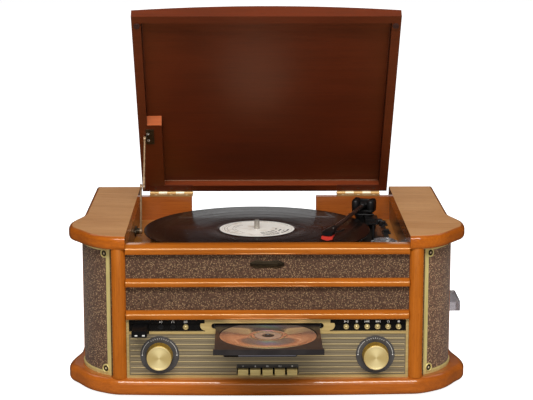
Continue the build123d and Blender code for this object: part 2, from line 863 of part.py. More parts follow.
with BuildPart() as platter:
    rod_z(spindle_x, spindle_y, platter_r, platter_floor, platter_top)
    rod_z(
        spindle_x, spindle_y, platter_r - platter_lip,
        platter_floor, platter_top - platter_skin, Mode.SUBTRACT,
    )
    rod_z(spindle_x, spindle_y, drive_rim_r, platter_floor, platter_top - platter_skin)
    rod_z(
        spindle_x, spindle_y, drive_rim_r - drive_rim_wall,
        platter_floor, platter_top - platter_skin, Mode.SUBTRACT,
    )
    rod_z(spindle_x, spindle_y, hub_r, platter_floor + running, platter_top - platter_skin)
    rod_z(
        spindle_x, spindle_y, spindle_r + shaft_running,
        platter_floor, platter_top, Mode.SUBTRACT,
    )
keep(platter, "platter")

with BuildPart() as platter_mat:
    rod_z(spindle_x, spindle_y, mat_r, platter_top, mat_top)
    rod_z(spindle_x, spindle_y, spindle_r + running, platter_top, mat_top, Mode.SUBTRACT)
keep(platter_mat, "platter_mat")

with BuildPart() as record:
    rod_z(spindle_x, spindle_y, record_r, mat_top, record_top)
    rod_z(spindle_x, spindle_y, spindle_r + running, mat_top, record_top, Mode.SUBTRACT)
keep(record, "record")

with BuildPart() as motor:
    motor_top = deck_top - deck_thickness
    rod_z(pulley_x, pulley_y, motor_r, motor_top - motor_height, motor_top)
    rod_z(pulley_x, pulley_y, motor_shaft_r, motor_top, pulley_floor + belt_height)
keep(motor, "motor")

with BuildPart() as motor_pulley:
    pulley_top = pulley_floor + belt_height + pulley_cap
    rod_z(pulley_x, pulley_y, pulley_r, pulley_floor, pulley_top)
    rod_z(
        pulley_x, pulley_y, motor_shaft_r + shaft_running,
        pulley_floor, pulley_floor + belt_height + running, Mode.SUBTRACT,
    )
keep(motor_pulley, "motor_pulley")

with BuildPart() as drive_belt:
    belt_floor = pulley_floor + running
    belt_rim = drive_rim_r + belt_gap
    belt_pulley = pulley_r + belt_gap
    belt_plane = Plane(
        origin=(spindle_x, behind(spindle_y), belt_floor),
        x_dir=(cos(radians(pulley_bearing)), sin(radians(pulley_bearing)), 0),
        z_dir=(0, 0, 1),
    )
    for grow, mode in ((belt_thickness, Mode.ADD), (0, Mode.SUBTRACT)):
        with BuildSketch(belt_plane):
            Circle(belt_rim + grow)
            with Locations((pulley_reach, 0)):
                Circle(belt_pulley + grow)
            make_hull()
        extrude(amount=belt_height, mode=mode)
keep(drive_belt, "drive_belt")

# --- tonearm -----------------------------------------------------------------
# Local x runs from the pivot to the head, local y across the arm.
arm_dir = (cos(radians(arm_bearing)), sin(radians(arm_bearing)), 0)
arm_plane = Plane(origin=(arm_x, behind(arm_y), arm_z), x_dir=arm_dir, z_dir=(0, 0, 1))


def arm_block(low, high, mode=Mode.ADD):
    """A box in the tonearm's own frame, between two corners."""
    size = [b - a for a, b in zip(low, high)]
    middle = [(a + b) / 2 for a, b in zip(low, high)]
    with Locations(arm_plane):
        with Locations(tuple(middle)):
            Box(*size, mode=mode)


def arm_cross(radius, low, high, mode=Mode.ADD):
    """A round bar across the tonearm, on its lifting axis."""
    across = Plane(arm_plane.from_local_coords((0, low, 0)), x_dir=arm_dir, z_dir=arm_plane.y_dir)
    with BuildSketch(across) as disc:
        Circle(radius)
    extrude(disc.sketch, amount=high - low, mode=mode)


column_top = arm_z - barrel_r - barrel_gap - yoke_floor - yoke_gap
cue_near, cue_far = cue_x - cue_boss / 2, cue_x + cue_boss / 2
cue_pivot_y = cue_y + 2 * cue_r
with BuildPart() as tonearm_base:
    rod_z(arm_x, arm_y, column_flange_r, deck_top, deck_top + column_flange)
    rod_z(arm_x, arm_y, column_r, deck_top, column_top)
    block(
        (arm_x, behind(cue_y), cue_z - 2 * cue_r),
        (cue_near - running, behind(arm_y), cue_z + 2 * cue_r),
    )
    rod_z(
        arm_x, arm_y, journal_r + shaft_running,
        column_top - journal_length - running, column_top, Mode.SUBTRACT,
    )
    rod_x(cue_pivot_y, cue_z, cue_r, cue_near - running, cue_far + cue_pin_over)
    shelf_width, shelf_length, shelf_thickness = rest_shelf
    shelf_top = arm_z - arm_tube_r - rest_gap
    shelf_right = rest_x + shelf_width / 2
    shelf_near, shelf_far = rest_y - shelf_length / 2, rest_y + shelf_length / 2
    rod_z(rest_x, rest_y, rest_post_r, deck_top, shelf_top - shelf_thickness)
    block(
        (rest_x - shelf_width / 2, behind(shelf_near), shelf_top - shelf_thickness),
        (shelf_right, behind(shelf_far), shelf_top),
    )
    block(
        (shelf_right - rest_lip_thickness, behind(shelf_near), shelf_top),
        (shelf_right, behind(shelf_far), shelf_top + rest_lip),
    )
keep(tonearm_base, "tonearm_base")

with BuildPart() as tonearm_yoke:
    yoke_low = column_top + yoke_gap - arm_z
    arm_block(
        (-yoke_along / 2, -yoke_across / 2, yoke_low),
        (yoke_along / 2, yoke_across / 2, yoke_top - arm_z),
    )
    fillet(tonearm_yoke.edges().group_by(Axis.Z)[-1], yoke_round)
    arm_block(
        (-yoke_along / 2, -yoke_slot / 2, yoke_low + yoke_floor),
        (yoke_along / 2, yoke_slot / 2, yoke_top - arm_z),
        Mode.SUBTRACT,
    )
    arm_cross(journal_r, -yoke_slot / 2, yoke_slot / 2)
    rod_z(arm_x, arm_y, journal_r, column_top - journal_length, column_top + yoke_gap)
keep(tonearm_yoke, "tonearm_yoke")

with BuildPart() as tonearm:
    barrel_half = yoke_slot / 2 - yoke_slot_run
    arm_cross(barrel_r, -barrel_half, barrel_half)
    with BuildSketch(Plane(arm_plane.origin, x_dir=arm_plane.y_dir, z_dir=arm_dir)) as tube_end:
        Circle(arm_tube_r)
    extrude(tube_end.sketch, amount=arm_length - head_length / 2)
    stylus_length, stylus_width, stylus_drop = stylus_size
    head_end = arm_length + stylus_length / 2
    arm_block(
        (head_end - head_length, -head_width / 2, -head_height / 2),
        (head_end, head_width / 2, head_height / 2),
    )
    tip = record_top + tip_gap - arm_z
    arm_block(
        (head_end - stylus_length, -stylus_width / 2, tip + stylus_drop),
        (head_end, stylus_width / 2, -head_height / 2),
    )
    arm_block(
        (arm_length - tip_width, -tip_width / 2, tip),
        (arm_length, tip_width / 2, tip + stylus_drop),
    )
    arm_cross(journal_r + shaft_running, -barrel_half, barrel_half, Mode.SUBTRACT)
keep(tonearm, "tonearm")

with BuildPart() as cue_lever:
    rod_x(cue_pivot_y, cue_z, 2 * cue_r, cue_near, cue_far)
    rod_y(cue_x, cue_z, cue_r, cue_pivot_y - cue_length, cue_pivot_y)
    rod_x(cue_pivot_y, cue_z, cue_r + shaft_running, cue_near, cue_far, Mode.SUBTRACT)
keep(cue_lever, "cue_lever")

for name, depth in (("speed_switch", speed_y), ("stop_switch", stop_y)):
    with BuildPart() as switch:
        wide, long, tall = switch_cap
        floor = deck_top + switch_lift
        block(
            (switch_x - wide / 2, behind(depth - long / 2), floor),
            (switch_x + wide / 2, behind(depth + long / 2), floor + tall),
        )
        fillet(switch.edges().group_by(Axis.Z)[-1], switch_round)
        stem_side, stem_end = switch_stem[0] / 2, switch_stem[1] / 2
        block(
            (switch_x - stem_side, behind(depth - stem_end), deck_top - deck_thickness),
            (switch_x + stem_side, behind(depth + stem_end), floor),
        )
    keep(switch, name)

# --- lid ---------------------------------------------------------------------
# Local frame: x across, y from the hinge axis to the front edge, z out of the lid's top.
lean = radians(lid_angle)
lid_plane = Plane(
    origin=(0, behind(hinge_y), hinge_z),
    x_dir=(-1, 0, 0),
    z_dir=(0, sin(lean), cos(lean)),
)
lid_half = well_half - lid_gap
lid_front = lid_reach
lid_back = lid_rear_gap


def lid_block(low, high, mode=Mode.ADD):
    """A box in the lid's own frame, between two corners."""
    size = [b - a for a, b in zip(low, high)]
    middle = [(a + b) / 2 for a, b in zip(low, high)]
    with Locations(lid_plane):
        with Locations(tuple(middle)):
            Box(*size, mode=mode)


def lid_cross(reach, height, radius, low, high, mode=Mode.ADD):
    """A round bar along the hinge direction in the lid's frame; x counts to the cabinet's right."""
    start = lid_plane.from_local_coords((-low, reach, height))
    with BuildSketch(Plane(start, x_dir=(0, 1, 0), z_dir=(1, 0, 0))) as disc:
        Circle(radius)
    extrude(disc.sketch, amount=high - low, mode=mode)


segment = hinge_length / hinge_knuckles


def knuckles(start, shift):
    """Hinge barrels of one leaf, every other segment along one hinge."""
    return [start + i * segment for i in range(shift, hinge_knuckles, 2)]


recess_top = lid_under + lid_recess
with BuildPart() as lid_frame:
    for side in (-1, 1):
        low_x, high_x = sorted((side * (lid_half - lid_wall), side * lid_half))
        lid_block((low_x, lid_back, lid_under), (high_x, lid_front, recess_top))
    inner_half = lid_half - lid_wall
    lid_block((-inner_half, lid_back, lid_under), (inner_half, lid_back + lid_wall, recess_top))
    lid_block((-inner_half, lid_front - lid_wall, lid_under), (inner_half, lid_front, recess_top))
    block_width, block_reach = stay_block
    lid_block(
        (inner_half - block_width, lid_back + lid_wall, lid_under),
        (inner_half, block_reach, recess_top),
    )
    block_end = lid_plane.from_local_coords((inner_half - block_width / 2, block_reach, lid_under))
    end_edge = lid_frame.edges().filter_by(Axis.X).sort_by_distance(block_end)[0]
    chamfer(end_edge, lid_recess - stay_block_edge)
    for x in (-hinge_centre, hinge_centre):
        lid_block(
            (x - hinge_length / 2 - running, lid_back, lid_under),
            (x + hinge_length / 2 + running, leaf_depth + running, lid_under + leaf_thickness),
            Mode.SUBTRACT,
        )
keep(lid_frame, "lid_frame")

with BuildPart() as lid_panel:
    back_edge = lid_plane.from_local_coords((0, lid_back, 0))
    with BuildSketch(Plane(back_edge, x_dir=lid_plane.x_dir, z_dir=lid_plane.y_dir)):
        with BuildLine():
            edge_top = -recess_top - lid_edge
            Polyline(
                (-lid_half, edge_top),
                (-lid_half, -recess_top),
                (lid_half, -recess_top),
                (lid_half, edge_top),
            )
            ThreePointArc((-lid_half, edge_top), (0, edge_top - lid_crown), (lid_half, edge_top))
        make_face()
    extrude(amount=lid_front - lid_back)
keep(lid_panel, "lid_panel")

with BuildPart() as lid_bumpers:
    for side in (-1, 1):
        bumper_x, bumper_y = side * (lid_half - bumper_inset[0]), lid_front - bumper_inset[1]
        spot = lid_plane.from_local_coords((bumper_x, bumper_y, lid_under))
        with BuildSketch(Plane(spot, x_dir=(1, 0, 0), z_dir=-lid_plane.z_dir)) as disc:
            Circle(bumper_r)
        extrude(disc.sketch, amount=bumper_height)
keep(lid_bumpers, "lid_bumpers")

with BuildPart() as hinge_cabinet_leaves:
    for centre in (-hinge_centre, hinge_centre):
        start = centre - hinge_length / 2
        leaf_far = hinge_y - knuckle_r - running
        leaf_top = hinge_block_top + leaf_thickness
        block(
            (start, behind(hinge_y - leaf_depth), hinge_block_top),
            (start + hinge_length, behind(leaf_far), leaf_top),
        )
        for x in knuckles(start, 0):
            rod_x(hinge_y, hinge_z, knuckle_r, x, x + segment)
            block(
                (x, behind(leaf_far), hinge_block_top),
                (x + segment, behind(hinge_y), leaf_top),
            )
        rod_x(hinge_y, hinge_z, pin_r, start, start + hinge_length)
keep(hinge_cabinet_leaves, "hinge_cabinet_leaves")

with BuildPart() as hinge_lid_leaves:
    for centre in (-hinge_centre, hinge_centre):
        start = centre - hinge_length / 2
        lid_block(
            (-start - hinge_length, lid_back, lid_under),
            (-start, leaf_depth, lid_under + leaf_thickness),
        )
        for x in knuckles(start, 1):
            lid_cross(0, 0, knuckle_r, x + running, x + segment - running)
            lid_block(
                (-x - segment + running, 0, lid_under),
                (-x - running, lid_back, lid_under + leaf_thickness),
            )
            lid_cross(0, 0, pin_r + shaft_running, x, x + segment, Mode.SUBTRACT)
keep(hinge_lid_leaves, "hinge_lid_leaves")

# --- lid stay ----------------------------------------------------------------
# The two links stand nearly straight at rest, from the wall's pivot to the lid's pivot.
high_pivot = lid_plane.from_local_coords((0, stay_high_reach, lid_under - stay_high_drop))
low_pivot = Vector(0, behind(stay_low_y), stay_low_z)
elbow = Vector(0, behind(stay_elbow_y), stay_elbow_z)
link_half = eye_thickness / 2


def stay_disc(centre, x, radius, half, mode=Mode.ADD):
    """A round boss across the cabinet, centred on a stay pivot."""
    side_plane = Plane((x - half, centre.Y, centre.Z), x_dir=(0, 1, 0), z_dir=(1, 0, 0))
    with BuildSketch(side_plane) as disc:
        Circle(radius)
    extrude(disc.sketch, amount=2 * half, mode=mode)


def stay_rod(start, end, x, radius):
    """A round rod between two points of the stay's plane."""
    line = (end - start).normalized()
    end_plane = Plane((x, start.Y, start.Z), x_dir=(1, 0, 0), z_dir=(0, line.Y, line.Z))
    with BuildSketch(end_plane) as disc:
        Circle(radius)
    extrude(disc.sketch, amount=(end - start).length)


with BuildPart() as stay_lower_link:
    stay_rod(low_pivot, elbow, stay_low_x, link_r)
    for centre in (low_pivot, elbow):
        stay_disc(centre, stay_low_x, eye_r, link_half)
    stay_disc(low_pivot, stay_low_x, stud_r + shaft_running, link_half, Mode.SUBTRACT)
keep(stay_lower_link, "stay_lower_link")

with BuildPart() as stay_upper_link:
    stay_rod(high_pivot, elbow, stay_high_x, link_r)
    sleeve_end = elbow + (high_pivot - elbow).normalized() * stay_sleeve_length
    stay_rod(elbow, sleeve_end, stay_high_x, stay_sleeve_r)
    stay_disc(high_pivot, stay_high_x, eye_r, link_half)
    stay_disc(elbow, stay_high_x, eye_r - running, link_half)
    stay_disc(high_pivot, stay_high_x, stud_r + shaft_running, link_half, Mode.SUBTRACT)
keep(stay_upper_link, "stay_upper_link")

with BuildPart() as stay_wall_bracket:
    wall_face = -well_half
    on_wall = Plane((wall_face, low_pivot.Y, low_pivot.Z), x_dir=(0, 1, 0), z_dir=(1, 0, 0))
    with BuildSketch(on_wall):
        SlotOverall(bracket_length, bracket_width)
    extrude(amount=bracket_thickness)
    with BuildSketch(on_wall):
        Circle(eye_r)
    extrude(amount=stay_low_x - link_half - running - wall_face)
    with BuildSketch(on_wall):
        Circle(stud_r)
    extrude(amount=stay_low_x + link_half - wall_face)
keep(stay_wall_bracket, "stay_wall_bracket")

with BuildPart() as stay_lid_bracket:
    lug_near = stay_high_x + link_half + running
    plate_back = stay_high_reach - bracket_length / 2
    lid_block(
        (-lug_near - bracket_width, plate_back, lid_under - bracket_thickness),
        (-lug_near, plate_back + bracket_length, lid_under),
    )
    lid_block(
        (-lug_near - bracket_thickness, stay_high_reach - eye_r, lid_under - stay_high_drop - eye_r),
        (-lug_near, stay_high_reach + eye_r, lid_under),
    )
    stay_disc(high_pivot, stay_high_x, stud_r, link_half)
    stay_disc(high_pivot, lug_near - running / 2, stud_r, running / 2)
keep(stay_lid_bracket, "stay_lid_bracket")

# --- cassette deck -----------------------------------------------------------
cassette_in_x = cassette_out_x - cassette_size[0]
with BuildPart() as cassette:
    block(
        (cassette_in_x, behind(cassette_near), cassette_low),
        (cassette_out_x, behind(cassette_far), cassette_top),
    )
    fillet(cassette.edges().filter_by(Axis.Z), cassette_round)
keep(cassette, "cassette")

with BuildPart() as cassette_deck:
    case_mouth = side_x - wall
    case_inner_x = cassette_case_x + cassette_case_wall
    case_floor = cassette_low - cassette_play
    block(
        (cassette_case_x, behind(case_near), case_low),
        (case_mouth, behind(case_far), case_high),
    )
    drill(
        (case_inner_x, behind(cassette_near - cassette_gap), case_floor),
        (case_mouth, behind(cassette_far + cassette_gap), cassette_top + cassette_gap),
    )
keep(cassette_deck, "cassette_deck")

# --- inside ------------------------------------------------------------------
with BuildPart() as circuit_boards:
    board_floor = plinth_top + board_stand
    board_x, board_depth = board_size
    block(
        (-board_x / 2, behind(board_y - board_depth / 2), board_floor),
        (board_x / 2, behind(board_y + board_depth / 2), board_floor + board_thickness),
    )
    stand_x, stand_y = board_x / 2 - board_stand, board_depth / 2 - board_stand
    for x in (-stand_x, stand_x):
        for depth in (board_y - stand_y, board_y + stand_y):
            rod_z(x, depth, board_stand / 2, plinth_top, board_floor)
    for x in (-board_x / 4, 0, board_x / 4):
        rod_z(x, board_y, board_stand, board_floor, board_floor + heat_sink_height)
    pot_far = fascia_thickness + pot_depth
    for x in (-knob_x, knob_x):
        rod_y(x, knob_z, pot_r, fascia_thickness, pot_far)
        rod_y(x, knob_z, shaft_r + shaft_running, fascia_thickness, pot_far, Mode.SUBTRACT)
    for x in (headphone_x, line_in_x):
        rod_y(x, control_z, socket_r, 0, jack_length)
        rod_y(x, control_z, jack_r, 0, jack_length, Mode.SUBTRACT)
keep(circuit_boards, "circuit_boards")

with BuildPart() as transformer:
    core_x, core_y, core_z = transformer_size
    block(
        (transformer_x - core_x / 2, behind(transformer_y - core_y / 2), plinth_top),
        (transformer_x + core_x / 2, behind(transformer_y + core_y / 2), plinth_top + core_z),
    )
    with BuildSketch(Plane.XY.offset(plinth_top + core_z / 2)):
        with Locations((transformer_x, behind(transformer_y))):
            RectangleRounded(coil_size[0], coil_size[1], coil_round)
    extrude(amount=coil_size[2] / 2, both=True)
keep(transformer, "transformer")
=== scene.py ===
"""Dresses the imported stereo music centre: woods, cloth, brass trim, plain marks, light and camera.

Lengths are in millimetres until a piece is finished, x runs along the front, y into the depth and z up.
A shape is a pair of its points and its faces, and make() turns it into a finished piece.
"""

import math

import bmesh
import bpy
import numpy as np
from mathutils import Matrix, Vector


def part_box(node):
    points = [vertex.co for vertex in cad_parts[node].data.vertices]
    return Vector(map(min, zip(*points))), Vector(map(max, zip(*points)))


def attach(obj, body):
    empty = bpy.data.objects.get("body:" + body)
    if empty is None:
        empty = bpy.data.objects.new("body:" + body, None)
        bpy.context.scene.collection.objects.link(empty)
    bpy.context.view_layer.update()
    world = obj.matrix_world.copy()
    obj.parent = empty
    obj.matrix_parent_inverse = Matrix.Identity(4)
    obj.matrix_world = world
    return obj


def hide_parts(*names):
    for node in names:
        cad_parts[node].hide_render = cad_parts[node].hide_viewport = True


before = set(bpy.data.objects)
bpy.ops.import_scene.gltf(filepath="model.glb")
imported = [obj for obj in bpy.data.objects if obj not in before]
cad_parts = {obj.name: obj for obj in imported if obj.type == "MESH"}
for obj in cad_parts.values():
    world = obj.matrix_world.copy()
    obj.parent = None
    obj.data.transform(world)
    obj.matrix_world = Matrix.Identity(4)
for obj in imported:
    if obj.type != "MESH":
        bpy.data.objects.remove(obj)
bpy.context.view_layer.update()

MM = 0.001
TURN = 2 * math.pi
QUARTER = math.pi / 2
SIDES = (-1, 1)            # left and right, or a pin's two ends
RIGHT = (1, 0, 0)
LEFT = (-1, 0, 0)
DEEP = (0, 1, 0)
UP = (0, 0, 1)


def extent(node):
    """The lowest and highest corners of a CAD node, in millimetres."""
    low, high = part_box(node)
    return np.array(low) / MM, np.array(high) / MM


def middle(node):
    """The middle of a CAD node's box, in millimetres."""
    low, high = extent(node)
    return (low + high) / 2


# Shapes: numpy surfaces

def grid_faces(rows, columns, around=False):
    """Quads between the neighbours of a grid of points; around joins the last column to the first."""
    spans = columns if around else columns - 1
    row, column = np.meshgrid(np.arange(rows - 1), np.arange(spans), indexing="ij")
    beside = (column + 1) % columns
    corners = (row * columns + column, row * columns + beside,
               (row + 1) * columns + beside, (row + 1) * columns + column)
    return np.stack(corners, -1).reshape(-1, 4).tolist()


def capped(rows, columns):
    """The faces of a grid whose columns run all round, closed by one face at its first and last rows."""
    last = (rows - 1) * columns
    ends = [list(range(columns))[::-1], list(range(last, last + columns))]
    return grid_faces(rows, columns, around=True) + ends


def lathe(profile, steps=64, height=0.0):
    """A profile of (radius, rise) turned round: x = r cos t, y = r sin t, z = height + rise."""
    radius, rise = np.array(profile, float).T
    turn = np.arange(steps) * TURN / steps
    x = np.outer(radius, np.cos(turn))
    y = np.outer(radius, np.sin(turn))
    z = np.outer(height + rise, np.ones(steps))
    return np.stack([x, y, z], -1).reshape(-1, 3), grid_faces(len(radius), steps, around=True)


def fluted(profile, depth, flutes):
    """A lathe of rows (radius, height, share) with flutes: r = radius - share depth (1 - |cos(n t / 2)|)."""
    radius, height, share = np.array(profile, float).T
    steps = flutes * 8         # eight points to each flute
    turn = np.arange(steps) * TURN / steps
    cut = depth * (1 - np.abs(np.cos(flutes * turn / 2)))
    wavy = radius[:, None] - share[:, None] * cut[None, :]
    points = np.stack([wavy * np.cos(turn), wavy * np.sin(turn), np.outer(height, np.ones(steps))], -1)
    return points.reshape(-1, 3), grid_faces(len(radius), steps, around=True)


def counter_clockwise(outline):
    """The same closed outline, its points turned to run counter-clockwise."""
    outline = np.array(outline, float)
    following = np.roll(outline, -1, 0)
    area = np.sum(outline[:, 0] * following[:, 1] - following[:, 0] * outline[:, 1])
    return outline if area > 0 else outline[::-1]


def inset(outline, distance):
    """A counter-clockwise outline moved inward: each point goes along the mean of its edges' normals."""
    ahead = np.roll(outline, -1, 0) - outline
    ahead = ahead / np.linalg.norm(ahead, axis=1, keepdims=True)
    behind = np.roll(ahead, 1, 0)
    normals = np.stack([-(ahead + behind)[:, 1], (ahead + behind)[:, 0]], -1)
    stretch = 1 + np.sum(ahead * behind, axis=1, keepdims=True)
    return outline + distance * normals / np.maximum(stretch, 0.4)


def stacked(rings):
    """The points of (outline, height) rings, one above the other."""
    return np.vstack([np.column_stack([outline, np.full(len(outline), height)]) for outline, height in rings])


def slab(outline, low, high, edge=0.0):
    """An outline raised from low to high; a quarter curve of radius edge rounds its upper rim."""
    outline = counter_clockwise(outline)
    rings = [(outline, low), (outline, high - edge)]
    if edge > 0:
        for angle in np.linspace(0, QUARTER, 4)[1:]:
            moved_in = inset(outline, edge * (1 - math.cos(angle)))
            rings.append((moved_in, high - edge + edge * math.sin(angle)))
    return stacked(rings), capped(len(rings), len(outline))


def rounded_box(outline, low, high, edge):
    """A slab whose lower rim is rounded too: the ring at angle a is moved in by edge (1 - cos a)."""
    outline = counter_clockwise(outline)
    angles = np.linspace(0, QUARTER, 4)
    rings = [(inset(outline, edge * (1 - math.sin(a))), low + edge * (1 - math.cos(a))) for a in angles]
    rings += [(inset(outline, edge * (1 - math.cos(a))), high - edge + edge * math.sin(a)) for a in angles]
    return stacked(rings), capped(len(rings), len(outline))


def rectangle(x_low, x_high, y_low, y_high, corner=0.0, steps=4):
    """A rectangle's outline, its corners rounded to the radius corner."""
    if corner <= 0:
        return np.array([(x_low, y_low), (x_high, y_low), (x_high, y_high), (x_low, y_high)], float)
    arc = np.linspace(0, QUARTER, steps + 1)
    centres = ((x_high - corner, y_high - corner), (x_low + corner, y_high - corner),
               (x_low + corner, y_low + corner), (x_high - corner, y_low + corner))
    corners = []
    for quarter, (x, y) in enumerate(centres):
        angle = arc + quarter * QUARTER
        corners.append(np.stack([x + corner * np.cos(angle), y + corner * np.sin(angle)], -1))
    return np.vstack(corners)


def centred(half_width, half_height, corner=0.0, x=0.0, y=0.0):
    """A rectangle's outline from its half sizes and its middle."""
    return rectangle(x - half_width, x + half_width, y - half_height, y + half_height, corner)


def disc_outline(radius, steps, x=0.0, y=0.0):
    """A circle's outline."""
    angle = np.arange(steps) * TURN / steps
    return np.stack([x + radius * np.cos(angle), y + radius * np.sin(angle)], -1)


def band_outline(inner, outer, start, end, steps=24):
    """The outline of a stretch of a ring, from the angle start to the angle end in degrees."""
    angle = np.radians(np.linspace(start, end, steps))
    arc = np.stack([np.cos(angle), np.sin(angle)], -1)
    return np.vstack([outer * arc, inner * arc[::-1]])


def ring(inner, outer, low, high, steps=64, edge=0.0):
    """A flat ring of rectangular section, its two upper rims broken by edge."""
    return lathe([(inner, low), (outer, low), (outer, high - edge), (outer - edge, high),
                  (inner + edge, high), (inner, high - edge), (inner, low)], steps)


def tube(path, radius, sides=12):
    """A round bar along a path: each ring is path + radius (side cos a + lift sin a), closed at both ends."""
    path = np.array(path, float)
    ahead = np.gradient(path, axis=0)
    ahead /= np.linalg.norm(ahead, axis=1, keepdims=True)
    spread = np.ptp(ahead, axis=0) + np.abs(ahead).mean(axis=0)
    helper = np.eye(3)[np.argmin(spread)]
    side = np.cross(ahead, helper)
    side /= np.linalg.norm(side, axis=1, keepdims=True)
    lift = np.cross(side, ahead)
    angle = np.arange(sides) * TURN / sides
    width = np.broadcast_to(np.asarray(radius, float), (len(path),))[:, None, None]
    wheel = side[:, None] * np.cos(angle)[None, :, None] + lift[:, None] * np.sin(angle)[None, :, None]
    points = (path[:, None] + width * wheel).reshape(-1, 3)
    return points, capped(len(path), sides)


def joined(shapes):
    """Several shapes as one."""
    points, faces, start = [], [], 0
    for shape_points, shape_faces in shapes:
        points.append(np.asarray(shape_points, float))
        faces.extend([[corner + start for corner in face] for face in shape_faces])
        start += len(shape_points)
    return np.vstack(points), faces


def shifted(shape, x=0.0, y=0.0, z=0.0):
    """The shape moved by (x, y, z)."""
    return shape[0] + np.array((x, y, z)), shape[1]


def turned(shape, degrees):
    """The shape turned about its own height axis."""
    angle = math.radians(degrees)
    spin = [(math.cos(angle), math.sin(angle), 0), (-math.sin(angle), math.cos(angle), 0), (0, 0, 1)]
    return shape[0] @ np.array(spin), shape[1]


def seat(shape, origin=(0, 0, 0), across=RIGHT, up=UP):
    """Stands a shape on a surface: x goes along across, y along up and its height along across x up."""
    across = np.array(across, float)
    across /= np.linalg.norm(across)
    up = np.array(up, float)
    up -= across * (up @ across)
    up /= np.linalg.norm(up)
    to_surface = np.stack([across, up, np.cross(across, up)])
    return shape[0] @ to_surface + np.array(origin, float), shape[1]


def make(name, shape, slot, body="cabinet", material=None, stands_for=None, sharp=32):
    """Finishes one piece: metres, doubled points merged, faces outward, smooth up to the sharp angle.

    It rides on body, wears slot's finish unless it has its own material, and hides the node it stands for."""
    points, faces = shape
    mesh = bpy.data.meshes.new(name)
    mesh.from_pydata((np.asarray(points) * MM).tolist(), [], faces)
    working = bmesh.new()
    working.from_mesh(mesh)
    bmesh.ops.remove_doubles(working, verts=working.verts, dist=1e-6)
    bmesh.ops.recalc_face_normals(working, faces=working.faces)
    working.to_mesh(mesh)
    working.free()
    mesh.polygons.foreach_set("use_smooth", np.ones(len(mesh.polygons), bool))
    mesh.set_sharp_from_angle(angle=math.radians(sharp))
    mesh.materials.append(material or FINISHES[slot])
    piece = bpy.data.objects.new(name, mesh)
    bpy.context.collection.objects.link(piece)
    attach(piece, body)
    if stands_for:
        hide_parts(stands_for)


def screw_head(radius, height):
    """A domed screw head, lowered where its cross runs: z = height (1 - 0.75 (r / R)^2)."""
    rings, steps = 9, 48
    reach = np.linspace(0, radius, rings)
    angle = np.arange(steps) * TURN / steps
    x = np.outer(reach, np.cos(angle))
    y = np.outer(reach, np.sin(angle))
    dome = height * (1 - 0.75 * (np.hypot(x, y) / radius) ** 2)
    near = np.minimum(np.abs(x), np.abs(y)) < radius * 0.16
    in_cross = near & (np.maximum(np.abs(x), np.abs(y)) < radius * 0.62)
    top = np.stack([x, y, np.where(in_cross, dome * 0.35, dome)], -1).reshape(-1, 3)
    skirt = np.stack([radius * np.cos(angle), radius * np.sin(angle), np.zeros(steps)], -1)
    foot = list(range(rings * steps, (rings + 1) * steps))[::-1]
    return np.vstack([top, skirt]), grid_faces(rings + 1, steps, around=True) + [foot]


# Shader helpers

def put(tree, kind, inputs=None, **settings):
    """Adds one shader node; inputs gives a value or a link to each of its sockets by name or number."""
    node = tree.nodes.new(kind)
    for setting, value in settings.items():
        setattr(node, setting, value)
    for socket, value in (inputs or {}).items():
        if isinstance(value, bpy.types.NodeSocket):
            tree.links.new(value, node.inputs[socket])
        else:
            node.inputs[socket].default_value = value
    return node


def rgb(red, green, blue):
    """A screen colour from 0 to 255 as the linear colour that shaders use."""
    channels = np.array((red, green, blue)) / 255
    linear = np.where(channels <= 0.04045, channels / 12.92, ((channels + 0.055) / 1.055) ** 2.4)
    return (*linear.tolist(), 1.0)


def sums(tree, kind, first, second=0.0, third=0.0):
    """One arithmetic step on numbers."""
    return put(tree, "ShaderNodeMath", {0: first, 1: second, 2: third}, operation=kind).outputs[0]


def times(tree, first, second):
    """A product."""
    return sums(tree, "MULTIPLY", first, second)


def times_plus(tree, first, second, third):
    """first times second, plus third."""
    return sums(tree, "MULTIPLY_ADD", first, second, third)


def hypotenuse(tree, first, second):
    """The length of the level line that two offsets span."""
    return sums(tree, "POWER", times_plus(tree, first, first, times(tree, second, second)), 0.5)


def vectors(tree, kind, first, second):
    """One step on vectors."""
    return put(tree, "ShaderNodeVectorMath", {0: first, 1: second}, operation=kind).outputs[0]


def scaled(tree, vector, scale):
    """A vector times a number."""
    return put(tree, "ShaderNodeVectorMath", {0: vector, "Scale": scale}, operation="SCALE").outputs[0]


def measure(tree, kind, *given):
    """A number from one or two vectors: LENGTH or DOT_PRODUCT."""
    return put(tree, "ShaderNodeVectorMath", dict(enumerate(given)), operation=kind).outputs[1]


def colours(tree, share, first, second, kind="MIX"):
    """A mix of two colours."""
    mixed = put(tree, "ShaderNodeMix", {0: share, 6: first, 7: second}, data_type="RGBA", blend_type=kind)
    return mixed.outputs[2]


def mixed_values(tree, share, first, second):
    """A mix of two numbers."""
    return put(tree, "ShaderNodeMix", {0: share, 2: first, 3: second}).outputs[0]


def eased(tree, value, start, end, low=0.0, high=1.0):
    """The value mapped from start..end to low..high along a smooth step."""
    steps = {0: value, 1: start, 2: end, 3: low, 4: high}
    return put(tree, "ShaderNodeMapRange", steps, interpolation_type="SMOOTHSTEP").outputs[0]


def toned(tree, value, shaded, colour, spread=0.2):
    """A shade and a colour, mixed by a value that wanders round a half."""
    return colours(tree, eased(tree, value, 0.5 - spread, 0.5 + spread), rgb(*shaded), rgb(*colour))


def stretched(tree, vector, scale=(1, 1, 1), turn=(0, 0, 0)):
    """Coordinates scaled by axis, after a turn in radians."""
    spin = {"Vector": vector, "Rotation": turn}
    spun = put(tree, "ShaderNodeVectorRotate", spin, rotation_type="EULER_XYZ")
    return vectors(tree, "MULTIPLY", spun.outputs[0], scale)


